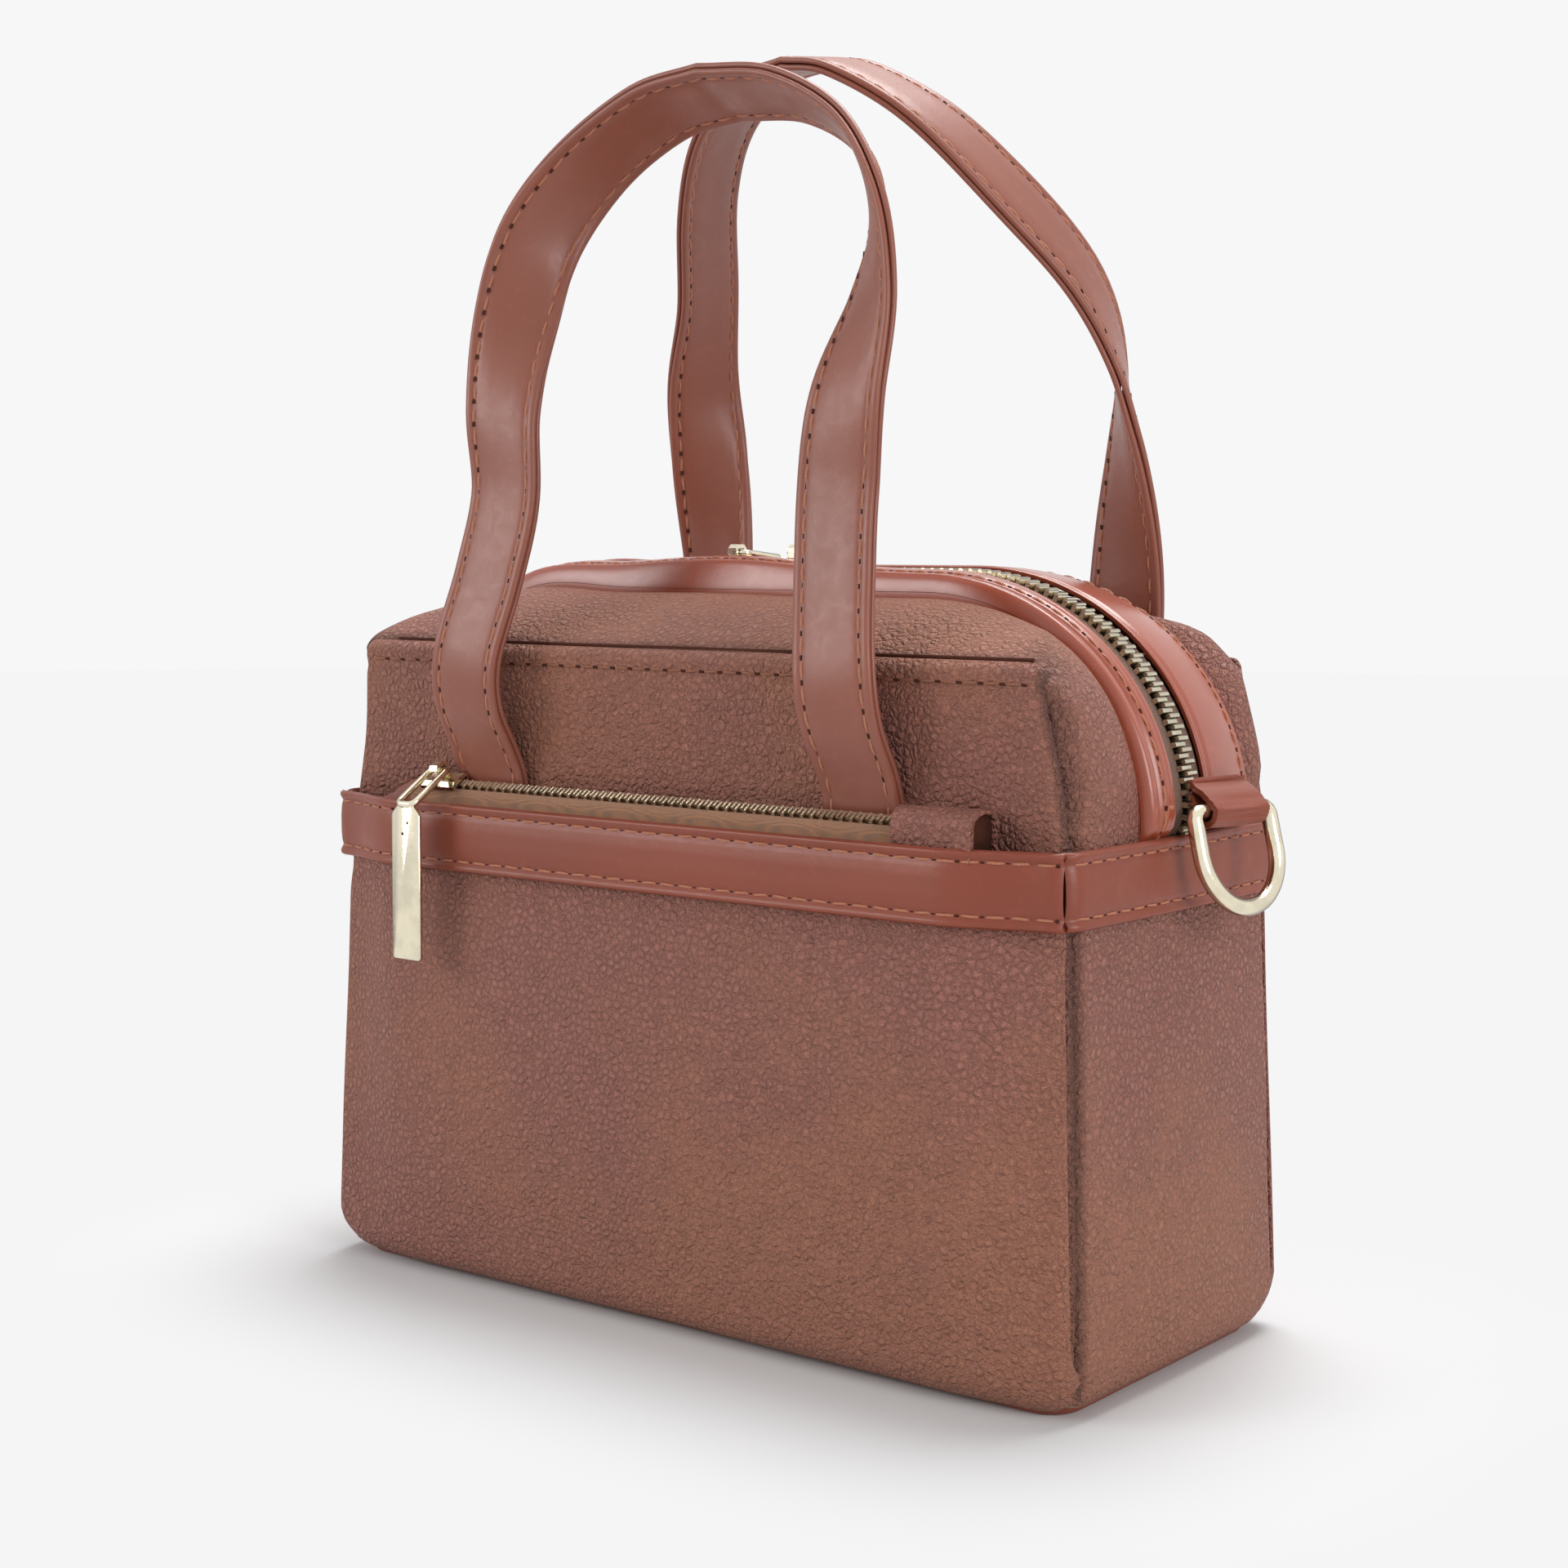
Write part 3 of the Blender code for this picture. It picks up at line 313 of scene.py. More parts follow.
def drift(points, size, seed):
    """Slow noise at each point of a grid, about -1 to 1."""
    flat = points.reshape(-1, 3) / size + seed * 7.3
    values = [noise.noise(Vector(point)) for point in flat.tolist()]
    return np.array(values).reshape(points.shape[:-1]) * 1.6


def curve_through(points, per_span):
    """Catmull-Rom curve through an array of points."""
    points = np.asarray(points, float)
    ends = np.vstack((2 * points[0] - points[1], points, 2 * points[-1] - points[-2]))
    out = []
    for a, b, c, d in zip(ends, ends[1:], ends[2:], ends[3:]):
        for t in np.arange(per_span) / per_span:
            out.append(0.5 * (2 * b + (c - a) * t + (2 * a - 5 * b + 4 * c - d) * t * t
                              + (3 * b - a - 3 * c + d) * t ** 3))
    out.append(points[-1])
    return np.array(out)


def unit(vectors):
    """Vectors at length 1."""
    return vectors / np.maximum(1e-12, np.linalg.norm(vectors, axis=-1, keepdims=True))


def points_at(x, y, z):
    """Points from three coordinates, some of which may be single numbers."""
    return np.stack(np.broadcast_arrays(x, y, z), -1)


def corner_drop(across, reach, corner):
    """How far a rounded corner falls away: 0 beside it, and its radius at its end."""
    far = np.clip((np.abs(across) - (reach - corner)) / corner, 0.0, 1.0)
    return corner * (1 - np.sqrt(1 - far ** 2))


# Meshes

# The materials by the names of their finishes
FINISHES = {}


def add_piece(name, mesh, finish, body="shell"):
    """Link a mesh as a named piece that rides on a body."""
    mesh.materials.append(FINISHES[finish])
    mesh.shade_smooth()
    piece = bpy.data.objects.new(name, mesh)
    bpy.context.scene.collection.objects.link(piece)
    if body:
        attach(piece, body)
    return piece


def settle(piece):
    """Turn a piece's modifiers into plain mesh."""
    graph = bpy.context.evaluated_depsgraph_get()
    mesh = bpy.data.meshes.new_from_object(piece.evaluated_get(graph))
    piece.modifiers.clear()
    old = piece.data
    piece.data = mesh
    mesh.name = piece.name
    bpy.data.meshes.remove(old)


def round_edges(piece, width=0.00035, limit=50.0):
    """Round a piece's sharp edges."""
    step = piece.modifiers.new("edges", "BEVEL")
    step.width = width
    step.segments = 2
    step.limit_method = "ANGLE"
    step.angle_limit = math.radians(limit)
    settle(piece)


def grid_normals(outer, heart=HEART):
    """Normals of a grid of points, pointing away from the bag's heart."""
    normal = unit(np.cross(np.gradient(outer, axis=0), np.gradient(outer, axis=1)))
    if np.sum(normal * (outer - heart)) < 0:
        normal = -normal
    return normal


def mesh_from(name, points, faces):
    """A mesh from points and from lists of their numbers."""
    mesh = bpy.data.meshes.new(name)
    mesh.from_pydata(np.reshape(points, (-1, 3)).tolist(), [], faces)
    mesh.update()
    return mesh


def sheet_mesh(name, outer, thick, heart=HEART, shade=0.0):
    """A sheet of leather: a grid of points on its outer face, closed by an inner face."""
    normal = grid_normals(outer, heart)
    shift = outer[..., 0].size
    index = np.arange(shift).reshape(outer.shape[:2])
    corners = [part.ravel() for part in (index[:-1, :-1], index[:-1, 1:], index[1:, 1:],
                                         index[1:, :-1])]
    faces = [*np.stack(corners, 1).tolist(), *(np.stack(corners[::-1], 1) + shift).tolist()]
    rim = np.concatenate((index[0, :-1], index[:-1, -1], index[-1, :0:-1],
                          index[:0:-1, 0])).tolist()
    for start, end in zip(rim, rim[1:] + rim[:1]):
        faces.append([end, start, start + shift, end + shift])
    mesh = mesh_from(name, (outer, outer - normal * thick), faces)
    # The shade attribute is painted shade: a share from 0 to 1 by which pebbled leather darkens in
    # its folds, grooves and rolled edges
    share = np.broadcast_to(shade, index.shape).ravel()
    depth = mesh.attributes.new("shade", "FLOAT", "POINT")
    depth.data.foreach_set("value", np.concatenate((share, share)).astype(np.float32))
    if mesh.polygons[0].normal.dot(Vector(normal[0, 0])) < 0:
        mesh.flip_normals()
    return mesh


def sheet_piece(name, grid, thick, finish, edge=0.00035, heart=HEART, shade=0.0):
    """A sheet of leather or cloth as a piece with rounded edges."""
    piece = add_piece(name, sheet_mesh(name, grid, thick, heart, shade), finish)
    round_edges(piece, edge)
    return piece


def loft_mesh(name, *solids, cyclic=False):
    """Solids in one mesh, each joined from closed sections of equal count."""
    points, faces = [], []
    for sections in solids:
        sections = np.asarray(sections, float)
        index = len(points) + np.arange(sections[..., 0].size).reshape(sections.shape[:2])
        first = index if cyclic else index[:-1]
        second = np.roll(index, -1, 0)[:len(first)]
        sides = (first, np.roll(first, -1, 1), np.roll(second, -1, 1), second)
        faces += np.stack(sides, -1).reshape(-1, 4).tolist()
        if not cyclic:
            faces += [index[0, ::-1].tolist(), index[-1].tolist()]
        points += sections.reshape(-1, 3).tolist()
    mesh = mesh_from(name, points, faces)
    if sum(face.center.dot(face.normal) * face.area for face in mesh.polygons) < 0:
        mesh.flip_normals()
    return mesh


def tube_mesh(name, path, radius, sides=14):
    """A closed ring of round wire along a path."""
    path = np.asarray(path, float)
    tangent = unit(np.roll(path, -1, 0) - np.roll(path, 1, 0))
    centre = path.mean(0)
    plane = unit(np.cross(path[0] - centre, path[len(path) // 3] - centre))
    turns = 2 * np.pi * np.arange(sides) / sides
    sections = []
    for point, along in zip(path, tangent):
        side = unit(np.cross(plane, along))
        up = np.cross(along, side)
        sections.append(point + radius * (np.outer(np.cos(turns), side)
                                          + np.outer(np.sin(turns), up)))
    return loft_mesh(name, sections, cyclic=True)


def rolled_axis(count, roll):
    """Columns across a panel: share of the flat width, reach into the roll, and its drop."""
    steps = 6
    turns = np.radians(np.linspace(90.0 / steps, 90.0, steps))
    flat = np.linspace(-1.0, 1.0, count)
    share = np.concatenate((-np.ones(steps), flat, np.ones(steps)))
    reach = np.concatenate((-np.sin(turns)[::-1], np.zeros(count), np.sin(turns))) * roll
    drop = np.concatenate((1 - np.cos(turns)[::-1], np.zeros(count), 1 - np.cos(turns))) * roll
    return share, reach, drop


# Materials

class Shading:
    """Short ways to add nodes to a tree; an input is a number, a colour or another's output."""

    def __init__(self, tree):
        self.tree = tree

    def add(self, kind, inputs=(), **settings):
        """A node with its inputs and settings."""
        node = self.tree.nodes.new(kind)
        for key, value in settings.items():
            setattr(node, key, value)
        for socket, value in dict(inputs).items():
            self.give(node.inputs[socket], value)
        return node

    def give(self, socket, value):
        """Set an input or link it."""
        if isinstance(value, bpy.types.NodeSocket):
            self.tree.links.new(value, socket)
        else:
            socket.default_value = value

    def maths(self, operation, first, second=0.0):
        return self.add("ShaderNodeMath", {0: first, 1: second}, operation=operation).outputs[0]

    def times(self, first, second):
        return self.maths("MULTIPLY", first, second)

    def vector(self, operation, first, second=(0.0, 0.0, 0.0)):
        """Maths on vectors; to scale takes a number."""
        other = "Scale" if operation == "SCALE" else 1
        node = self.add("ShaderNodeVectorMath", {0: first, other: second}, operation=operation)
        return node.outputs["Value" if operation == "LENGTH" else "Vector"]

    def blend(self, first, second, share):
        """From one colour to another."""
        node = self.add("ShaderNodeMix", {"Factor": share, 6: first, 7: second},
                        data_type="RGBA")
        return node.outputs[2]

    def ramp(self, value, low, high, start=0.0, end=1.0):
        """A smooth step between two values."""
        node = self.add("ShaderNodeMapRange", {"Value": value, "From Min": low, "From Max": high,
                                               "To Min": start, "To Max": end})
        node.interpolation_type = "SMOOTHSTEP"
        return node.outputs["Result"]

    def noise(self, where, scale, detail=2.0, distortion=0.0):
        return self.add("ShaderNodeTexNoise", {"Vector": where, "Scale": scale, "Detail": detail,
                                               "Distortion": distortion}).outputs["Fac"]

    def wave(self, where, scale, distortion, direction="X", detail=2.0):
        return self.add("ShaderNodeTexWave", {"Vector": where, "Scale": scale, "Detail": detail,
                                              "Distortion": distortion},
                        bands_direction=direction).outputs["Fac"]


def node_group(name, kind, inputs, outputs):
    """A new node group and the tools to fill it in; a number makes a socket for numbers."""
    group = bpy.data.node_groups.new(name, kind)
    for side, sockets in (("INPUT", inputs), ("OUTPUT", outputs)):
        for label, sort in sockets.items():
            is_number = isinstance(sort, float)
            socket = group.interface.new_socket(
                label, in_out=side, socket_type="NodeSocket" + ("Float" if is_number else sort))
            if is_number:
                socket.default_value = sort
    shade = Shading(group)
    source = shade.add("NodeGroupInput")
    target = shade.add("NodeGroupOutput")
    return group, shade, source.outputs, target.inputs


def pebble_group():
    """Tumbled leather grain: soft pebbles with creases between them."""
    group, shade, given, out = node_group(
        "Pebble Grain", "ShaderNodeTree", {"Vector": "Vector", "Cell Size": 0.0026, "Warp": 0.35},
        {"Height": 0.0, "Crease": 0.0, "Drift": 0.0})
    scaled = shade.vector("SCALE", given["Vector"], shade.maths("DIVIDE", 1.0, given["Cell Size"]))
    wobble = shade.add("ShaderNodeTexNoise", {"Vector": scaled, "Scale": 0.9, "Detail": 2.0})
    centred = shade.vector("SUBTRACT", wobble.outputs["Color"], (0.5, 0.5, 0.5))
    place = shade.vector("ADD", scaled, shade.vector("SCALE", centred, given["Warp"]))
    edge, fine = (shade.add("ShaderNodeTexVoronoi", {"Vector": place, "Scale": scale},
                            feature="DISTANCE_TO_EDGE").outputs["Distance"]
                  for scale in (1.0, 2.3))
    cell = shade.add("ShaderNodeTexVoronoi", {"Vector": place, "Scale": 1.0})
    chance = shade.add("ShaderNodeSeparateColor", {0: cell.outputs["Color"]}).outputs[0]
    dome = shade.times(shade.ramp(edge, -0.05, 0.38),
                       shade.maths("ADD", 0.55, shade.times(chance, 0.45)))
    body = shade.maths("ADD", shade.times(dome, 0.66),
                       shade.times(shade.ramp(fine, -0.05, 0.30), 0.18))
    dust = shade.noise(scaled, 3.0, 4.0)
    shade.give(out["Height"], shade.maths("ADD", body, shade.times(dust, 0.26)))
    # Crease is the mask that the leather uses for painted shade and painted highlight in its
    # creases
    shade.give(out["Crease"], shade.ramp(edge, 0.20, 0.02))
    shade.give(out["Drift"], shade.ramp(shade.noise(given["Vector"], 14.0, 3.0), 0.38, 0.62))
    return group


def hide_group():
    """Smooth leather: fine pores, faint wrinkles and slow changes of tone."""
    group, shade, given, out = node_group(
        "Smooth Hide", "ShaderNodeTree", {"Vector": "Vector", "Pore Scale": 2200.0},
        {"Height": 0.0, "Drift": 0.0, "Streak": 0.0})
    pores = shade.noise(given["Vector"], given["Pore Scale"])
    wrinkle = shade.noise(given["Vector"], 260.0, 4.0, 0.8)
    shade.give(out["Height"], shade.maths("ADD", shade.times(pores, 0.35),
                                          shade.times(wrinkle, 0.65)))
    shade.give(out["Drift"], shade.ramp(shade.noise(given["Vector"], 18.0), 0.35, 0.65))
    shade.give(out["Streak"], shade.ramp(wrinkle, 0.55, 0.72))
    return group


def weave_group():
    """Twill zip tape: slanted ribs crossed by fine threads."""
    group, shade, given, out = node_group(
        "Tape Weave", "ShaderNodeTree", {"Vector": "Vector", "Thread Scale": 1900.0},
        {"Height": 0.0, "Shade": 0.0})
    slanted = shade.add("ShaderNodeMapping", {"Vector": given["Vector"],
                                              "Rotation": (0.5, 0.7, 0.8)}).outputs[0]
    ribs = shade.wave(slanted, given["Thread Scale"], 0.6, detail=1.0)
    cross = shade.wave(given["Vector"], given["Thread Scale"], 0.4, "Y")
    height = shade.times(ribs, cross)
    shade.give(out["Height"], height)
    shade.give(out["Shade"], shade.ramp(height, 0.1, 0.7))
    return group


def material_with(name, roughness, metallic=0.0, coat=0.0, specular=0.5, sheen=0.0):
    """A Principled material and the tools to fill it in."""
    material = bpy.data.materials.new(name)
    material.use_nodes = True
    shade = Shading(material.node_tree)
    sockets = material.node_tree.nodes["Principled BSDF"].inputs
    for socket, value in (("Roughness", roughness), ("Metallic", metallic), ("Coat Weight", coat),
                          ("Coat Roughness", 0.28), ("Specular IOR Level", specular),
                          ("Sheen Weight", sheen)):
        sockets[socket].default_value = value
    where = shade.add("ShaderNodeTexCoord").outputs["Object"]
    return material, shade, sockets, where


def use_group(shade, group, inputs):
    """Place a node group."""
    node = shade.tree.nodes.new("ShaderNodeGroup")
    node.node_tree = group
    for socket, value in inputs.items():
        shade.give(node.inputs[socket], value)
    return node.outputs


def cover(shade, sockets, colour, height, depth):
    """Give a material its colour and the relief of a height."""
    relief = shade.add("ShaderNodeBump", {"Height": height, "Distance": depth, "Strength": 1.0})
    shade.give(sockets["Base Color"], colour)
    shade.give(sockets["Normal"], relief.outputs[0])


def scaled_tone(colour, share):
    """A colour made darker or lighter."""
    return tuple(min(1.0, value * share) for value in colour[:3]) + (1.0,)


def pebbled_leather(group, leather):
    """The grained leather of the panels."""
    material, shade, sockets, where = material_with("pebbled leather", 0.45, specular=0.42)
    grain = use_group(shade, group, {"Vector": where, "Cell Size": leather.cell_size})
    base = shade.blend(tuple(leather.pebbled), tuple(leather.pebbled_warm), grain["Drift"])
    # Crease colour: dark creases are painted shade between the pebbles, and where Drift is high
    # they turn pale, a painted highlight
    depth = shade.blend(scaled_tone(leather.pebbled, 0.46), tone(180, 126, 108),
                        shade.times(grain["Drift"], 0.40))
    colour = shade.blend(base, depth, shade.times(grain["Crease"], 0.50))
    # Painted shade: the mesh's shade attribute darkens the leather in folds, grooves and rolled
    # edges
    fold = shade.add("ShaderNodeAttribute", attribute_name="shade").outputs["Fac"]
    cover(shade, sockets, shade.blend(colour, tone(48, 27, 21), fold), grain["Height"],
          leather.grain_depth)
    shade.give(sockets["Roughness"], shade.ramp(grain["Height"], 0.3, 0.95, 0.66, 0.33))
    return material


def smooth_leather(name, group, colour, roughness, coat):
    """The plain leather of the bands, strips and handles."""
    material, shade, sockets, where = material_with(name, roughness, coat=coat, specular=0.45)
    hide = use_group(shade, group, {"Vector": where})
    base = shade.blend(tuple(colour), scaled_tone(colour, 0.86), shade.times(hide["Drift"], 0.8))
    streaked = shade.blend(base, scaled_tone(colour, 1.16), shade.times(hide["Streak"], 0.35))
    cover(shade, sockets, streaked, hide["Height"], 0.00007)
    shade.give(sockets["Roughness"], shade.ramp(hide["Height"], 0.3, 0.7, roughness + 0.06,
                                                roughness - 0.04))
    return material


def woven_tape(name, group, colour):
    """The zips' cloth tapes."""
    material, shade, sockets, where = material_with(name, 0.88, specular=0.2, sheen=0.25)
    weave = use_group(shade, group, {"Vector": where})
    # Painted shade: the weave's low threads are darkened
    cover(shade, sockets, shade.blend(scaled_tone(colour, 0.62), colour, weave["Shade"]),
          weave["Height"], 0.00022)
    return material


def thread_finish(name, colour):
    """Waxed sewing thread with its twist."""
    material, shade, sockets, where = material_with(name, 0.55, specular=0.4)
    twist = shade.wave(where, 900.0, 0.5, "DIAGONAL")
    # Painted shade: darker in the grooves of the twist
    cover(shade, sockets, shade.blend(scaled_tone(colour, 0.8), tuple(colour), twist), twist,
          0.00008)
    return material


def shadow_finish(name, dark, light):
    """Painted shade: the dark inside of a needle hole or a seam, as a flat dark colour."""
    material, shade, sockets, where = material_with(name, 0.9, specular=0.1)
    shade.give(sockets["Base Color"], shade.blend(dark, light, shade.noise(where, 900.0)))
    return material


def polished_gold(name, colour, roughness=0.14):
    """Polished plated metal with faint scratches, a little tarnish, and painted dark reflections
    at its outline.
    """
    material, shade, sockets, where = material_with(name, roughness, metallic=1.0)
    tarnish = shade.ramp(shade.noise(where, 160.0, 4.0), 0.42, 0.70)
    plated = shade.blend(tuple(colour), scaled_tone(colour, 0.84), tarnish)
    # Painted dark reflection: the metal darkens where it turns away from the eye, towards its
    # outline
    facing = shade.add("ShaderNodeLayerWeight", {"Blend": 0.5}).outputs["Facing"]
    hair = shade.add("ShaderNodeMapping", {"Vector": where, "Scale": (1.0, 1.0, 14.0)})
    scratch = shade.noise(hair.outputs[0], 420.0, 5.0)
    cover(shade, sockets, shade.blend(plated, scaled_tone(colour, 0.22),
                                      shade.ramp(facing, 0.42, 0.80)), scratch, 0.00001)
    shade.give(sockets["Roughness"], shade.ramp(scratch, 0.3, 0.75, roughness - 0.05,
                                                roughness + 0.10))
    return material


def plain_cloth(name, colour):
    """Fine woven lining."""
    material, shade, sockets, where = material_with(name, 0.85, specular=0.2, sheen=0.2)
    height = shade.maths("MAXIMUM", shade.wave(where, 1300.0, 0.5),
                         shade.wave(where, 1300.0, 0.5, "Z"))
    # Painted shade: darker between the raised threads
    cover(shade, sockets, shade.blend(scaled_tone(colour, 0.7), colour, height), height, 0.0001)
    return material


def pressed_board():
    """Grey-brown stiffening board with loose fibres."""
    material, shade, sockets, where = material_with("pressed board", 0.8, specular=0.3)
    fibre = shade.noise(where, 700.0, 5.0, 1.2)
    cover(shade, sockets, shade.blend(tone(112, 96, 80), tone(140, 122, 102), fibre), fibre,
          0.0001)
    return material


def mix_finishes():
    """Every material of the bag."""
    leather = bpy.context.scene.bag_leather
    gold = bpy.context.scene.bag_metal.gold
    pebble = pebble_group()
    hide = hide_group()
    weave = weave_group()
    FINISHES.update(
        pebbled=pebbled_leather(pebble, leather),
        band=smooth_leather("smooth band leather", hide, leather.band, 0.42, 0.04),
        # The strips take a lighter copy of the band leather: painted light on the strips, which
        # face the top lamp
        strip=smooth_leather("zip strip leather", hide, scaled_tone(leather.band, 1.42), 0.30,
                             0.6),
        strap=smooth_leather("handle leather", hide, leather.strap, 0.42, 0.12),
        tape=woven_tape("zip tape", weave, tone(148, 100, 74)),
        pale_tape=woven_tape("pocket zip tape", weave, tone(206, 150, 114)),
        thread=thread_finish("thread", leather.thread),
        # A darker copy of the thread: painted shade for the stitch rows under the top seams
        dark_thread=thread_finish("thread in painted shade", scaled_tone(leather.thread, 0.62)),
        # Painted shade: flat dark colours for seams, needle holes, dimples and the wrap's inside
        seam=shadow_finish("painted seam shade", tone(62, 35, 27), tone(86, 50, 39)),
        hole=shadow_finish("needle hole", tone(58, 32, 25), tone(80, 47, 37)),
        gold=polished_gold("polished gold", gold),
        teeth=polished_gold("zip metal", scaled_tone(gold, 0.92), 0.26),
        lining=plain_cloth("lining cloth", tone(74, 54, 46)),
        board=pressed_board())


def finish_nodes(finish, *nodes):
    """Give CAD nodes a better material."""
    for node in nodes:
        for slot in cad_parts[node].material_slots:
            slot.material = FINISHES[finish]


# Stitches and teeth by Geometry Nodes

def path_points(shade, geometry, pitch):
    """Even points along a path, with a turn that follows the path and the surface."""
    line = shade.add("GeometryNodeMeshToCurve", {"Mesh": geometry})
    even = shade.add("GeometryNodeResampleCurve", {"Curve": line.outputs[0], "Length": pitch},
                     mode="LENGTH")
    tangent = shade.add("GeometryNodeInputTangent").outputs[0]
    out = shade.add("GeometryNodeInputNamedAttribute", {"Name": "out"}, data_type="FLOAT_VECTOR")
    turn = shade.add("FunctionNodeAxesToRotation", {0: out.outputs["Attribute"], 1: tangent},
                     primary_axis="Z", secondary_axis="X")
    return even.outputs[0], turn.outputs[0]


def finished_copies(shade, points, turn, shape, material, shift=None):
    """Copies of a shape at points, made real and given their material."""
    copies = shade.add("GeometryNodeInstanceOnPoints", {"Points": points, "Instance": shape,
                                                        "Rotation": turn}).outputs[0]
    if shift is not None:
        copies = shade.add("GeometryNodeTranslateInstances",
                           {"Instances": copies, "Translation": shift}).outputs[0]
    real = shade.add("GeometryNodeRealizeInstances", {"Geometry": copies}).outputs[0]
    return shade.add("GeometryNodeSetMaterial", {"Geometry": real,
                                                 "Material": material}).outputs[0]


def vector_of(shade, x=0.0, y=0.0, z=0.0):
    """A vector from three numbers or sockets."""
    return shade.add("ShaderNodeCombineXYZ", {"X": x, "Y": y, "Z": z}).outputs[0]


def swept(shade, curve, profile):
    """A profile swept along a curve and capped."""
    return shade.add("GeometryNodeCurveToMesh", {"Curve": curve, "Profile Curve": profile,
                                                 "Fill Caps": True}).outputs[0]


def smoothed(shade, shape):
    """A shape with smooth shading."""
    return shade.add("GeometryNodeSetShadeSmooth", {0: shape}).outputs[0]


def joined(shade, *parts):
    """Several shapes as one."""
    node = shade.add("GeometryNodeJoinGeometry")
    for part in parts:
        shade.tree.links.new(part, node.inputs[0])
    return node.outputs[0]


def stitch_tree():
    """Thread that rises from one needle hole and dips into the next."""
    group, shade, given, out = node_group(
        "Stitch Row", "GeometryNodeTree",
        {"Geometry": "Geometry", "Pitch": 0.0, "Length": 0.0, "Thread Radius": 0.0,
         "Hole Radius": 0.0, "Lift": 0.0, "Seed": "Int", "Thread": "Material",
         "Hole": "Material"}, {"Geometry": "Geometry"})
    points, turn = path_points(shade, given["Geometry"], given["Pitch"])
    half = shade.times(given["Length"], 0.5)
    dip = shade.times(given["Thread Radius"], -1.3)
    bow = shade.add("GeometryNodeCurveQuadraticBezier", {
        "Resolution": 5, "Start": vector_of(shade, shade.times(half, -1.0), 0.0, dip),
        "Middle": vector_of(shade, 0.0, 0.0, shade.times(given["Lift"], 2.0)),
        "End": vector_of(shade, half, 0.0, dip)})
    round_profile = shade.add("GeometryNodeCurvePrimitiveCircle",
                              {"Resolution": 6, "Radius": given["Thread Radius"]})
    thread = smoothed(shade, swept(shade, bow.outputs[0], round_profile.outputs[0]))
    wobble = shade.add("FunctionNodeRandomValue", {0: (-0.03, -0.03, -0.09),
                                                   1: (0.03, 0.03, 0.09),
                                                   "Seed": given["Seed"]},
                       data_type="FLOAT_VECTOR")
    jitter = shade.add("FunctionNodeEulerToRotation", {0: wobble.outputs[0]}).outputs[0]
    turned = shade.add("FunctionNodeRotateRotation", {0: turn, 1: jitter},
                       rotation_space="LOCAL").outputs[0]
    sewn = finished_copies(shade, points, turned, thread, given["Thread"])
    # Dark pits at the needle holes: painted shade inside the holes
    mouth = shade.times(given["Hole Radius"], 1.5)
    gap = shade.add("GeometryNodeCurvePrimitiveLine",
                    {"Start": vector_of(shade, shade.times(mouth, -1.0)),
                     "End": vector_of(shade, mouth)})
    thin = shade.add("GeometryNodeCurvePrimitiveCircle",
                     {"Resolution": 8, "Radius": given["Hole Radius"]})
    flat = shade.add("GeometryNodeTransform", {"Geometry": thin.outputs[0],
                                               "Scale": (1.0, 0.35, 1.0)}).outputs[0]
    pit = smoothed(shade, swept(shade, gap.outputs[0], flat))
    between = vector_of(shade, shade.times(given["Pitch"], 0.5))
    holes = finished_copies(shade, points, turn, pit, given["Hole"], between)
    shade.give(out["Geometry"], joined(shade, sewn, holes))
    return group


def teeth_tree():
    """Two rows of metal teeth that mesh along a path."""
    group, shade, given, out = node_group(
        "Zip Teeth", "GeometryNodeTree",
        {"Geometry": "Geometry", "Pitch": 0.0, "Reach": 0.0, "Bite": 0.0, "Width": 0.0,
         "Height": 0.0, "Metal": "Material"}, {"Geometry": "Geometry"})
    points, turn = path_points(shade, given["Geometry"], given["Pitch"])
    bar = shade.add("GeometryNodeCurvePrimitiveLine", {
        "Start": vector_of(shade, 0.0, shade.times(given["Reach"], -1.0)),
        "End": vector_of(shade, 0.0, given["Bite"])})
    fine = shade.add("GeometryNodeResampleCurve", {"Curve": bar.outputs[0], "Count": 6})
    along = shade.add("GeometryNodeSplineParameter").outputs["Factor"]
    waist = shade.times(shade.maths("SINE", shade.times(along, math.pi)), 0.22)
    shaped = shade.add("GeometryNodeSetCurveRadius", {
        "Curve": fine.outputs[0], "Radius": shade.maths("SUBTRACT", 1.0, waist)}).outputs[0]
    block = shade.add("GeometryNodeCurvePrimitiveQuadrilateral",
                      {"Width": given["Width"], "Height": given["Height"]})
    soft = shade.add("GeometryNodeFilletCurve", {
        "Curve": block.outputs[0], "Radius": shade.times(given["Width"], 0.32), "Count": 2},
        mode="POLY")
    shape = swept(shade, shaped, soft.outputs[0])
    other = shade.add("GeometryNodeTransform", {"Geometry": shape,
                                                "Rotation": (0.0, 0.0, math.pi)}).outputs[0]
    front = finished_copies(shade, points, turn, shape, given["Metal"])
    rear = finished_copies(shade, points, turn, other, given["Metal"],
                           vector_of(shade, shade.times(given["Pitch"], 0.5)))
    shade.give(out["Geometry"], joined(shade, front, rear))
    return group


TREES = {}


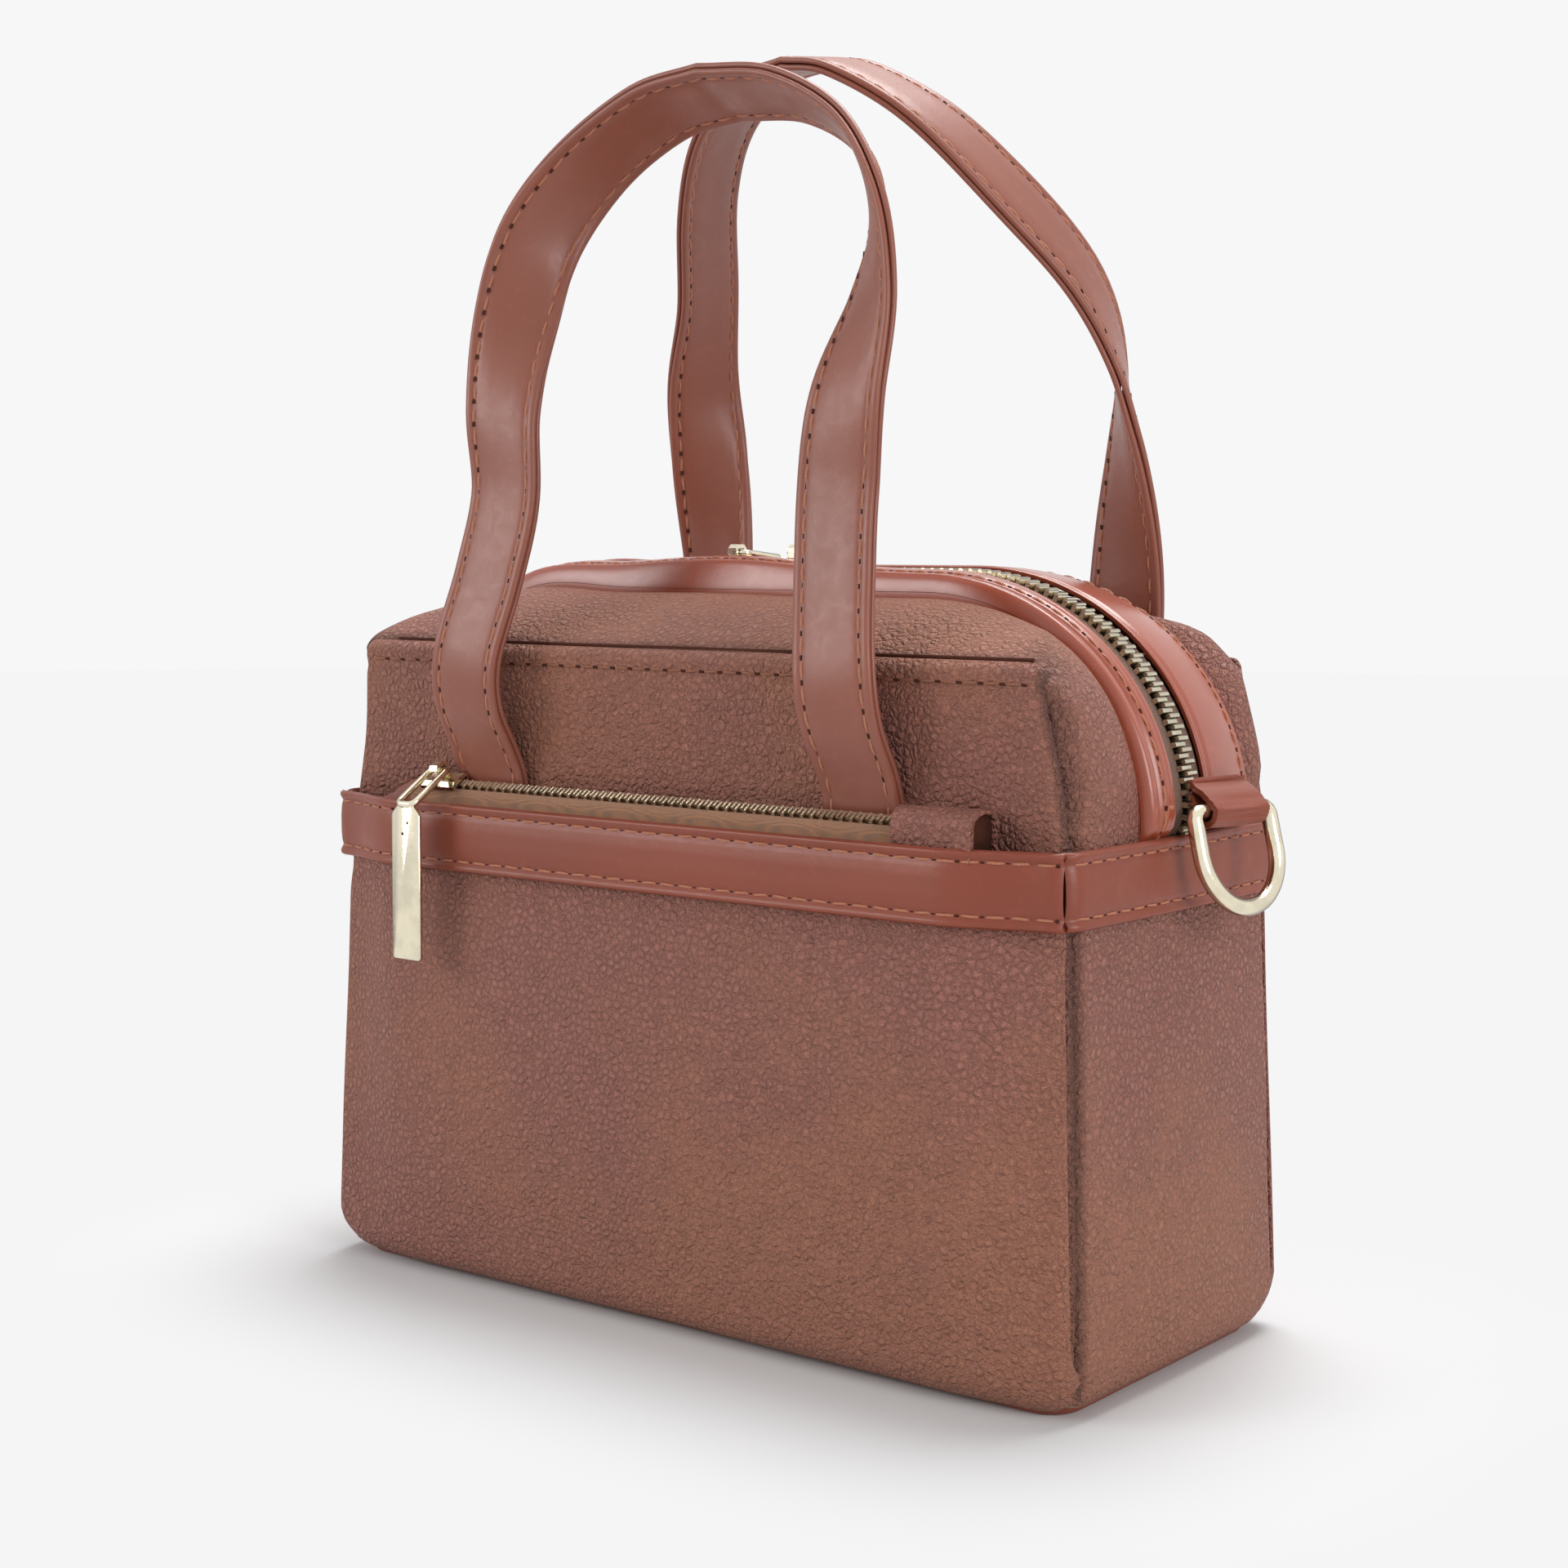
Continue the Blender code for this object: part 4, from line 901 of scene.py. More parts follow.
def run_tree(name, lines, maker, values, body):
    """Run a node tree on paths and keep the result as a plain mesh piece."""
    if maker not in TREES:
        TREES[maker] = maker()
    tree = TREES[maker]
    points, edges, outs = [], [], []
    for line, out in lines:
        start = len(points)
        points.extend(np.asarray(line).tolist())
        outs.extend(np.broadcast_to(out, np.shape(line)).tolist())
        edges.extend((i, i + 1) for i in range(start, len(points) - 1))
    mesh = bpy.data.meshes.new(name)
    mesh.from_pydata(points, edges, [])
    attribute = mesh.attributes.new("out", "FLOAT_VECTOR", "POINT")
    attribute.data.foreach_set("vector", np.array(outs, np.float32).ravel())
    piece = bpy.data.objects.new(name, mesh)
    bpy.context.scene.collection.objects.link(piece)
    step = piece.modifiers.new("rows", "NODES")
    step.node_group = tree
    for item in tree.interface.items_tree:
        if item.in_out == "INPUT" and item.name in values:
            step[item.identifier] = values[item.name]
    settle(piece)
    if body:
        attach(piece, body)
    return piece


def sew(name, lines, body="shell", thread="thread", hole=0.95):
    """Stitch rows along lines of points with their outward directions."""
    sewing = bpy.context.scene.bag_sewing
    return run_tree(name, lines, stitch_tree, {
        "Pitch": sewing.pitch, "Length": sewing.pitch * 0.84,
        "Thread Radius": sewing.thread_radius, "Hole Radius": sewing.thread_radius * hole,
        "Lift": sewing.thread_radius, "Seed": sewing.seed,
        "Thread": FINISHES[thread], "Hole": FINISHES["hole"]}, body)


def zip_teeth(name, line, out, reach, bite, width, height):
    """Both rows of a zip's teeth along a line."""
    return run_tree(name, [(line, out)], teeth_tree, {
        "Pitch": bpy.context.scene.bag_metal.tooth_pitch, "Reach": reach, "Bite": bite,
        "Width": width, "Height": height, "Metal": FINISHES["teeth"]}, "shell")


def seam_shade_cords(name, lines, radius):
    """Painted shade in seams: dark cords that lie between two edges."""
    curve = bpy.data.curves.new(name, "CURVE")
    curve.dimensions = "3D"
    curve.bevel_depth = radius
    curve.bevel_resolution = 2
    curve.use_fill_caps = True
    for line in lines:
        spline = curve.splines.new("POLY")
        spline.points.add(len(line) - 1)
        spline.points.foreach_set("co", np.column_stack((line, np.ones(len(line)))).ravel())
    source = bpy.data.objects.new(name + "_path", curve)
    bpy.context.scene.collection.objects.link(source)
    graph = bpy.context.evaluated_depsgraph_get()
    mesh = bpy.data.meshes.new_from_object(source.evaluated_get(graph))
    mesh.materials.clear()
    bpy.data.objects.remove(source)
    add_piece(name, mesh, "seam")


# Panels

def panel_rows(heights):
    """Rows up a panel: its foot's curl without a height, and then its heights."""
    turns = np.radians(np.linspace(0.0, 75.0, 6))
    return ([(None, 1 - math.sin(turn), 1 - math.cos(turn)) for turn in turns]
            + [(height, 0.0, 1.0) for height in heights])


def panel_grid(face, heights, inward):
    """Outer face of a panel: rolled side edges, a foot that curls under and raised corners."""
    roll = 0.0023
    share, reach, drop = rolled_axis(61, roll)
    low, top = heights[0], heights[-1]
    out = []
    for height, pull, rise in panel_rows(heights):
        width = half_width(np.array(FOOT_Z if height is None else height)) - 0.0012
        x = share * (width - roll) + reach
        foot = FOOT_Z + corner_drop(x, width, BASE_CORNER) * 0.9
        if height is None:
            z = foot + FOOT_CURL * rise
        else:
            z = np.maximum(foot + FOOT_CURL,
                           mix(foot + FOOT_CURL, top, (height - low) / (top - low)))
        y = face(x, z) - inward * (drop + pull * FOOT_CURL)
        out.append(points_at(x, y, z))
    return np.array(out)


def swell(grid, amount, size, seed):
    """Push a grid's points in and out by slow noise, less towards its rim."""
    rows, columns = grid.shape[:2]
    across = np.sin(np.pi * np.linspace(0, 1, columns)) ** 0.5
    up = np.sin(np.pi * np.linspace(0, 1, rows)) ** 0.5
    return grid + (grid_normals(grid) * (drift(grid, size, seed) * amount
                                         * up[:, None] * across[None, :])[..., None])


def wall_stitches(name, face, out, hole):
    """The stitch row under the top seam of the front or the back."""
    x = np.linspace(-WALL_STITCH_HALF, WALL_STITCH_HALF, 80)
    z = np.full_like(x, SEAM_Z - WALL_STITCH_DROP)
    line = points_at(x, face(x, z) - out * 0.0002, z)
    # These stitches take the thread in painted shade
    sew(name, [(line, np.array((0.0, out, 0.0)))], thread="dark_thread", hole=hole)


def make_pocket_panel():
    """The pebbled front of the pocket, which sags a little under the band."""
    def face(x, z):
        sag = 0.0016 * np.sin(np.pi * np.clip(z / BAND_FOOT, 0, 1)) * belly(x)
        tuck = 0.0008 * hump(z, BAND_FOOT - 0.002, 0.004)
        return pocket_face(x, z) - sag + tuck

    grid = panel_grid(face, np.linspace(0.0070, BAND_TOP - 0.0012, 46), -1)
    piece = sheet_piece("pocket_panel_leather", swell(grid, 0.0007, 0.045, 1), SHEET, "pebbled")
    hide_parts("front_pocket_panel")


def make_front_wall():
    """The wall behind the pocket, its top edge turned over the seam."""
    roll = 0.0028
    share, reach, drop = rolled_axis(61, roll)
    turns = np.radians(np.linspace(15.0, 90.0, 6))
    rows = [(z, 0.0, 0.0) for z in np.linspace(0.0050, SEAM_Z - roll, 60)]
    rows += [(SEAM_Z - roll, roll * math.sin(turn), roll * (1 - math.cos(turn)))
             for turn in turns]
    grid = []
    for z, over, back in rows:
        width = half_width(np.array(z)) - 0.0010
        x = share * (width - roll) + reach
        fall = corner_drop(x, width, 0.0032) * ease((z - SEAM_Z + SEAM_RUN) / SEAM_RUN)
        ledge = (0.0007 * hump(z, SEAM_Z - 0.0016, 0.0020)
                 - 0.0006 * hump(z, SEAM_Z - 0.0048, 0.0011))
        y = wall_face(x, np.array(z)) + drop + back - ledge * level_share(x)
        grid.append(points_at(x, y, z + over - fall))
    # Painted shade darkens the wall's rolled side edges
    piece = sheet_piece("front_wall_leather", np.array(grid), SHEET, "pebbled",
                        shade=0.7 * (np.abs(reach) / roll) ** 3)
    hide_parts("front_panel")
    wall_stitches("front_wall_stitches", wall_face, -1.0, 1.2)


def make_back_panel():
    """The pebbled back, from the foot to the seam."""
    def face(x, z):
        sag = 0.0012 * np.sin(np.pi * np.clip(z / BAND_FOOT, 0, 1)) * belly(x)
        return back_face(x, z) + sag

    grid = panel_grid(face, np.linspace(0.0070, SEAM_Z - 0.0016, 56), 1)
    far = np.clip((np.abs(grid[..., 0]) - SEAM_HALF + 0.0050) / 0.0040, 0.0, 1.0)
    grid[..., 2] -= (0.0040 * (1 - np.sqrt(1 - far ** 2))
                     * ease((grid[..., 2] - SEAM_Z + SEAM_RUN) / SEAM_RUN))
    piece = sheet_piece("back_panel_leather", swell(grid, 0.0007, 0.050, 4), SHEET, "pebbled")
    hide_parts("back_panel")
    wall_stitches("back_wall_stitches", back_face, 1.0, 0.95)


def make_side_panels():
    """The lower sides, pulled in where they meet the front and the back."""
    roll = 0.0045
    share, reach, drop = rolled_axis(41, roll)
    for label, sign in (("right", 1.0), ("left", -1.0)):
        grid = []
        for height, pull, rise in panel_rows(np.linspace(0.0, 1.0, 44)):
            level = BAND_TOP * (height or 0.0)
            width = BODY_FRONT - PANEL_LAYER * min(1.0, level / BAND_FOOT) - 0.0036
            y = share * (width - roll) + reach + 0.0016 * np.maximum(0.0, share)
            foot = FOOT_Z + corner_drop(y, width, BASE_CORNER) * 0.9
            if height is None:
                z = foot + FOOT_CURL * rise
            else:
                z = mix(foot + FOOT_CURL, BAND_TOP - 0.0012, height)
            bulge = 0.0016 * np.sin(np.pi * np.clip(z / BAND_FOOT, 0, 1)) * (1 - (y / width) ** 2)
            x = half_width(z) + bulge - drop - pull * FOOT_CURL
            grid.append(points_at(sign * x, y, z))
        grid = swell(np.array(grid), 0.0006, 0.040, 8 + sign)
        # Painted shade darkens the rolled front edge where the panel turns in to meet the front
        piece = sheet_piece(f"{label}_side_leather", grid, SHEET, "pebbled",
                            shade=np.maximum(0.0, -reach) / roll)
        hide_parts(f"{label}_side_panel")


def make_bottom():
    """The smooth underside, a shallow tray whose rim shows at the corners."""
    half_x, half_y = BASE_HALF - 0.0038, BODY_FRONT - 0.0038
    outline = []
    for quarter, (sx, sy) in enumerate(((1, 1), (-1, 1), (-1, -1), (1, -1))):
        for angle in np.linspace(0.0, np.pi / 2, 16):
            turn = np.pi / 2 * quarter + angle
            outline.append((sx * (half_x - BASE_CORNER), sy * (half_y - BASE_CORNER),
                            math.cos(turn), math.sin(turn), math.sin(2 * angle)))
    flat_x, flat_y, turn_x, turn_y, bend = np.array(outline).T
    rows = []
    for reach, z, rise in ((0.00, 0.0, 0), (0.35, 0.0, 0), (0.70, 0.0, 0), (0.80, 0.0002, 0),
                           (0.88, 0.0006, 0.1), (0.94, 0.0012, 0.4), (0.98, 0.0020, 0.8),
                           (1.00, 0.0032, 1.0)):
        flat = min(1.0, reach / 0.7)
        rows.append(points_at(flat_x * flat + turn_x * BASE_CORNER * reach,
                              flat_y * flat + turn_y * BASE_CORNER * reach,
                              z + 0.0050 * bend * rise))
    rows = np.array(rows)
    inner = rows[::-1].copy()
    inner[..., 2] += 0.0011
    inner[0, :, 0] *= 0.992
    inner[0, :, 1] *= 0.985
    mesh = loft_mesh("bottom_leather", np.concatenate((rows[1:], inner[:-1])))
    piece = add_piece("bottom_leather", mesh, "band")
    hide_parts("bottom_panel")
    finish_nodes("board", "base_board")


def make_lining():
    """The loose cloth tub inside."""
    half_x, front, back = 0.0985, -0.0388, 0.0404
    steps = 14
    corners = ((1, 1), (-1, 1), (-1, -1), (1, -1))
    loop = [(mix(x0, x1, t), mix(y0, y1, t))
            for (x0, y0), (x1, y1) in zip(corners, corners[1:] + corners[:1])
            for t in np.arange(steps) / steps]
    across, deep = np.array(loop).T
    sections = []
    for inside, order in ((0.0, 1), (0.0008, -1)):
        for z in np.linspace(0.0046, 0.1425, 16)[::order]:
            wide = (float(half_width(np.array(z))) - 0.0052) / half_x
            wave = 0.0008 * np.sin(across * 14 + z * 90) + 0.0006 * np.sin(deep * 11)
            x = across * (half_x * wide - inside - 0.001 - np.abs(wave))
            y = (front + back) / 2 + deep * ((back - front) / 2 - inside - 0.001 - np.abs(wave))
            sections.append(points_at(x, y, z + inside * (z < 0.005)))
    piece = add_piece("lining_cloth", loft_mesh("lining_cloth", sections), "lining")
    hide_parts("main_lining")


# Bands

def band_profile():
    """Height and stand-out across a band: rolled edges outside two sewn grooves."""
    edge = bpy.context.scene.bag_sewing.edge
    height = BAND_TOP - BAND_FOOT
    up = np.linspace(0.0, height, 33)
    near = np.minimum(up, height - up)
    rise = 0.00055 * hump(near, 0.0009, 0.0010) - 0.00040 * hump(near, edge, 0.0006)
    rise += 0.00030 * ease((near - edge) / 0.004)
    rise -= 0.0008 * np.clip(1 - near / 0.0006, 0, 1) ** 2
    return up, rise


def make_bands():
    """Smooth bands at the front, back and sides, each with two stitch rows."""
    up, rise = band_profile()
    edge = bpy.context.scene.bag_sewing.edge
    rows = [int(np.argmin(np.abs(up - level))) for level in (edge, up[-1] - edge)]
    z, rise = BAND_FOOT + up[:, None], rise[:, None]
    reach = float(half_width(np.array(BAND_FOOT))) + 0.0002
    x = np.linspace(-reach, reach, 121)
    proud = rise - 0.0014 * np.clip(1 - (reach - np.abs(x)) / 0.0022, 0, 1) ** 2
    bands = [("front_band_leather", "front_band", 2, points_at(x, band_face(x) - proud, z)),
             ("back_band_leather", "back_band", 2, points_at(x, back_band_face(x) + proud, z))]
    y = np.linspace(-SIDE_BAND_HALF, SIDE_BAND_HALF, 61)
    tip = 0.0018 * np.clip(1 - (SIDE_BAND_HALF - np.abs(y)) / 0.0030, 0, 1) ** 2
    x = half_width(z) + GAP + BAND_THICK + rise - tip + 0.0008 * (1 - (y / SIDE_BAND_HALF) ** 2)
    for label, sign in (("right", 1.0), ("left", -1.0)):
        bands.append((f"{label}_band_leather", f"{label}_side_band", 3,
                      points_at(sign * x, y, z)))
    lines = []
    for name, node, ends, grid in bands:
        piece = sheet_piece(name, grid, 0.0013, "band", 0.0003)
        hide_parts(node)
        normal = grid_normals(grid)
        lines += [(grid[row, ends:-ends], normal[row, ends:-ends]) for row in rows]
    sew("band_stitches", lines, hole=0.8)
    # Dark cords of painted shade in the corner seams below the band
    z = np.linspace(0.0070, BAND_TOP - 0.0008, 14)
    y = BODY_FRONT - 0.0031 - 0.0018 * np.minimum(1.0, z / BAND_FOOT)
    x = half_width(z) - 0.0033 + 0.0022 * ease((z - BAND_FOOT + 0.002) / 0.003)
    for label, front, sink, radius in (("front", -1.0, 0.0, 0.0011),
                                       ("back", 1.0, 0.0022, 0.0008)):
        seam_shade_cords(f"{label}_corner_seam_shade",
                   [points_at(side * (x - sink), front * y, z) for side in (-1.0, 1.0)], radius)


# The arched top

LEG_STEPS, ARC_STEPS, TOP_STEPS = 8, 30, 14


def arch_leg():
    """Heights up an arch's upright leg and places along half of its top."""
    leg = np.linspace(ARCH_FOOT, ARCH_TOP - ARCH_DROP, LEG_STEPS + 1)[:-1]
    return leg, np.linspace(ARCH_HALF - ARCH_REACH, 0.0, TOP_STEPS + 1)[1:]


def mirrored(x, z):
    """A line's right half and its left half."""
    return np.concatenate((x, -x[-2::-1])), np.concatenate((z, z[-2::-1]))


def arch_line(lift):
    """The arch's outline from right to left, raised by a lift, as x and z arrays."""
    reach_x = ARCH_REACH + SIDE_SWELL * lift
    reach_z = ARCH_DROP + lift
    centre_x = ARCH_HALF - ARCH_REACH
    centre_z = ARCH_TOP - ARCH_DROP
    leg, top = arch_leg()
    turns = np.linspace(0.0, np.pi / 2, ARC_STEPS + 1)
    x = np.concatenate((np.full(LEG_STEPS, centre_x + reach_x),
                        centre_x + reach_x * np.cos(turns), top))
    z = np.concatenate((leg, centre_z + reach_z * np.sin(turns),
                        np.full(TOP_STEPS, centre_z + reach_z)))
    tuck = 0.0052 * ease((BAND_TOP + 0.004 - z) / 0.008) * np.clip(lift / STRIP_LIFT, 0, 1)
    x, z = mirrored(x - tuck, z)
    return x, z + 0.0036 * hump(x, -0.075, 0.020) * ease((z - SEAM_Z + 0.012) / 0.014)


def box_line():
    """The box seam beside the arch, with the same count of points."""
    corner = 0.0032
    leg, top = arch_leg()
    side = np.linspace(ARCH_TOP - ARCH_DROP, SEAM_Z - corner, ARC_STEPS // 2 - 5)
    turns = np.linspace(0.0, np.pi / 2, 11)[1:-1]
    seam_x = float(half_width(np.array(SEAM_Z - corner)))
    over = np.linspace(seam_x - corner, ARCH_HALF - ARCH_REACH,
                       ARC_STEPS + 1 - len(side) - len(turns))
    x = np.concatenate((half_width(leg), half_width(side),
                        seam_x - corner + corner * np.cos(turns), over, top))
    z = np.concatenate((leg, side, SEAM_Z - corner + corner * np.sin(turns),
                        np.full(len(over) + TOP_STEPS, SEAM_Z)))
    return mirrored(x, z)


def make_shoulders():
    """Soft pebbled pieces between the box seam and the zip strips, with a fold at each corner;
    painted shade darkens the folds and seams.
    """
    box_x, box_z = box_line()
    arch_x, arch_z = arch_line(-0.0004)
    rim_x, rim_z = arch_line(0.0004)
    floor_z = ARCH_TOP - ARCH_DROP
    aside = np.hypot(np.abs(box_x) - SEAM_HALF + 0.001, box_z - SEAM_Z + 0.001)
    upright = ease((SEAM_Z - 0.002 - box_z) / 0.004)
    deep = 0.0320
    lines, uprights = [], []
    for label, face, seam_y, edge_y, right_gap in (
            ("front", wall_face, -BODY_FRONT + SEAM_SETBACK, FRONT_EDGE_Y, 0.0022),
            ("back", back_face, BODY_BACK - SEAM_SETBACK, BACK_EDGE_Y, 0.0080)):
        inward = math.copysign(1.0, edge_y - seam_y)
        corner_y = face(np.full_like(box_z, BAND_HALF), box_z)
        start_y = corner_y + inward * 0.0017
        span = abs(edge_y + inward * 0.0020 - start_y)
        grid, painted_shades = [], []
        for step in (0.0, 0.0003, 0.0007, 0.0012, 0.0018, 0.0025, 0.0035, 0.0050, 0.0072, 0.0100,
                     0.0130, 0.0160, 0.0190, 0.0220, 0.0250, 0.0275, 0.0300, deep):
            share = step / deep
            x = mix(box_x, arch_x, share)
            z = mix(box_z, arch_z, share)
            plump = 0.0032 * np.sin(np.pi * np.minimum(1.0, share * 1.03)) ** 0.75
            if label == "front":
                full = np.sin(np.pi * share ** 0.45) ** 0.5
                plump = plump + 0.0012 * ease((-x - 0.050) / 0.030) * full * (1 - upright)
            far = np.clip(1.0 - share * span / mix(0.0026, 0.0062, upright), 0.0, 1.0)
            dip = mix(0.0012 * (1.0 - np.sqrt(1.0 - far ** 2)), 0.0052 * far ** 1.6, upright)
            fold = 0.0042 * hump(aside, 0.0, 0.0030) * math.exp(-(share / 0.34) ** 2)
            fold = fold * np.where(box_x < 0.0, 0.15, 1.0)
            away = unit(np.stack((x - np.clip(x, -0.060, 0.060),
                                  np.maximum(0.0, z - floor_z) + 1e-4), -1))
            out = plump * np.clip((z - BAND_TOP) / 0.012, 0.25, 1) - dip - fold
            grid.append(points_at(x + away[:, 0] * out, start_y + inward * share * span,
                                  z + away[:, 1] * out))
            # Painted shade: dark in the corner creases, along the box seam, beside the upright
            # folds, and under the strip's roll
            crease = 0.8 * hump(aside, 0.0, 0.0024) * math.exp(-(share / 0.30) ** 2)
            seam = 0.50 * math.exp(-(step / 0.0016) ** 2)
            painted_shades.append(np.maximum(np.maximum(crease, seam), upright * far ** 1.1)
                          + 0.45 * float(ease((share - 0.93) / 0.07)))
        grid = swell(np.array(grid), 0.0006, 0.028, 20 + seam_y * 100)
        piece = sheet_piece(f"{label}_shoulder_leather", grid, 0.0011, "pebbled", 0.0002,
                            shade=np.clip(painted_shades, 0.0, 1.0))
        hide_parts(f"{label}_shoulder")
        flat = (box_x > 0.0080 - SEAM_HALF) & (box_x < SEAM_HALF - right_gap)
        lines.append(points_at(box_x, corner_y + inward * 0.0023, box_z + 0.0003)[flat])
        rim = points_at(rim_x, edge_y - inward * 0.0003, rim_z)
        lines.append(rim[rim_z > BAND_TOP + 0.001])
        z = np.linspace(BAND_TOP + 0.001, SEAM_Z - 0.005, 8)
        y = face(np.full_like(z, BAND_HALF), z) + inward * 0.0034
        uprights += [points_at(side * (half_width(z) - 0.0040), y, z) for side in (-1.0, 1.0)]
    # Dark cords of painted shade along the box seam, the strip's edge and the corner folds
    seam_shade_cords("shoulder_seam_shade", lines, 0.00040)
    seam_shade_cords("shoulder_fold_shade", uprights, 0.0011)


def arch_sheet(name, profile, thick, finish, node, edge=0.0003):
    """A strip along the arch from a profile of depth, lift and extra lift at the top's middle."""
    grid = []
    for y, lift, pucker in profile:
        x, z = arch_line(lift)
        grid.append(points_at(x, y, z + pucker * hump(x, -0.012, 0.034) * (z > SEAM_Z)))
    grid = np.array(grid)
    piece = sheet_piece(name, grid, thick, finish, edge)
    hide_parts(node)
    return grid


def strip_stitches(grid, row):
    """A stitch line along a row of a strip's grid, without its ends."""
    return grid[row, 4:-4], grid_normals(grid)[row, 4:-4]


def make_strips():
    """Smooth strips beside the top zip: a rolled front edge and a wide back."""
    front = []
    depth = np.concatenate((np.linspace(0.0, 0.0008, 5), np.linspace(0.0012, 0.0093, 34)))
    for step in depth:
        lift = -0.0012 + 0.0056 * math.sqrt(1 - (1 - min(1.0, step / 0.0018)) ** 2)
        lift -= 0.0009 * hump(step, 0.0041, 0.0006)
        lift += 0.0006 * ease((step - 0.0042) / 0.0026) - 0.00022 * hump(step, 0.0056, 0.0005)
        lift += 0.00022 * hump(step, 0.0084, 0.0006)
        front.append((FRONT_EDGE_Y - 0.0008 + step, lift, 0.0030 * float(ease(step / 0.0020))))
    grid = arch_sheet("front_strip_leather", front, SHEET, "strip", "front_zip_strip")
    lines = [strip_stitches(grid, int(np.argmin(np.abs(depth - 0.0056))))]
    back = []
    for y in np.linspace(BACK_TAPE_EDGE, BACK_EDGE_Y - GAP, 37):
        share = (y - BACK_TAPE_EDGE) / (BACK_EDGE_Y - BACK_TAPE_EDGE)
        lift = mix(STRIP_LIFT - 0.0006, STRIP_LIFT - 0.0024, share ** 1.6)
        lift += 0.0004 * hump(share, 0.03, 0.025) - 0.0006 * hump(share, 0.10, 0.020)
        lift += 0.0006 * math.sin(math.pi * share) ** 0.9
        lift -= 0.0004 * hump(share, 0.86, 0.022)
        lift -= 0.0034 * max(0.0, (share - 0.92) / 0.08) ** 2
        back.append((y, lift, 0.0))
    grid = arch_sheet("back_strip_leather", back, SHEET, "strip", "back_zip_strip")
    lines.append(strip_stitches(grid, int(0.86 * 36)))
    sew("strip_stitches", lines)
    for label, start, end in (("front", FRONT_TAPE_EDGE - 0.0016, -0.0003),
                              ("back", 0.0043, BACK_TAPE_EDGE + 0.0016)):
        tape = []
        for y in np.linspace(start, end, 9):
            hidden = max(FRONT_TAPE_EDGE - y, y - BACK_TAPE_EDGE)
            tape.append((y, TAPE_LIFT - 0.0005 - 0.0014 * ease(hidden / 0.0016), 0.0))
        arch_sheet(f"{label}_tape_cloth", tape, 0.0005, "tape", f"{label}_zip_tape", 0.0001)


def make_main_teeth():
    """The big teeth along the arch."""
    x, z = arch_line(ZIP_LIFT - 0.0010)
    line = points_at(x, ZIP_Y, z)[3:-3]
    out = np.cross(unit(np.gradient(line, axis=0)), np.array((0.0, -1.0, 0.0)))
    if np.sum(out * (line - HEART)) < 0:
        out = -out
    piece = zip_teeth("zip_teeth", line, out, 0.0030, 0.0010, 0.00115, 0.0022)
    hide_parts("front_zip_teeth", "back_zip_teeth")


# Pocket zip

WRAP_START, WRAP_END, WRAP_FOOT = 0.0665, 0.0865, BAND_TOP - 0.003


def pocket_line(x):
    """Depth of the middle of the pocket's zip."""
    return band_face(x) + POCKET_ZIP_DEPTH


def make_pocket_zip():
    """Tapes, teeth, the wrap at the closed end and the tab at the start."""
    x = np.linspace(POCKET_ZIP_LEFT - 0.004, POCKET_ZIP_RIGHT + 0.002, 80)
    reach = POCKET_CHAIN_WIDTH / 2 * math.cos(POCKET_ZIP_TILT)
    rise = POCKET_CHAIN_WIDTH / 2 * math.sin(POCKET_ZIP_TILT)
    for label, side in (("front", -1), ("back", 1)):
        grid = []
        for share in np.linspace(0, 1, 14):
            lean = side * 0.0004 * (1 - share)
            over = -side * 0.0009 * max(0.0, (share - 0.86) / 0.14) ** 2
            y = pocket_line(x) + side * (reach + 0.0002) + lean + over
            y = y + 0.00015 * np.sin(x * 260 + share)
            grid.append(points_at(x, y, mix(POCKET_TAPE_FOOT, POCKET_CHAIN_Z + side * rise,
                                            share)))
        piece = sheet_piece(f"pocket_{label}_tape_cloth", np.array(grid), 0.0005, "pale_tape",
                            0.0001, np.array((0.0, side * -1.0, 0.11)))
        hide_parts(f"pocket_{label}_tape")
    x = np.linspace(POCKET_ZIP_LEFT, POCKET_ZIP_RIGHT, 90)
    line = points_at(x, pocket_line(x), POCKET_CHAIN_Z)
    out = np.array((0.0, -math.sin(POCKET_ZIP_TILT), math.cos(POCKET_ZIP_TILT)))
    piece = zip_teeth("pocket_zip_teeth", line, out, 0.0013, 0.0007, 0.00085, 0.00105)
    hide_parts("pocket_front_teeth", "pocket_back_teeth")
    make_pocket_wrap()
    make_pocket_tab()


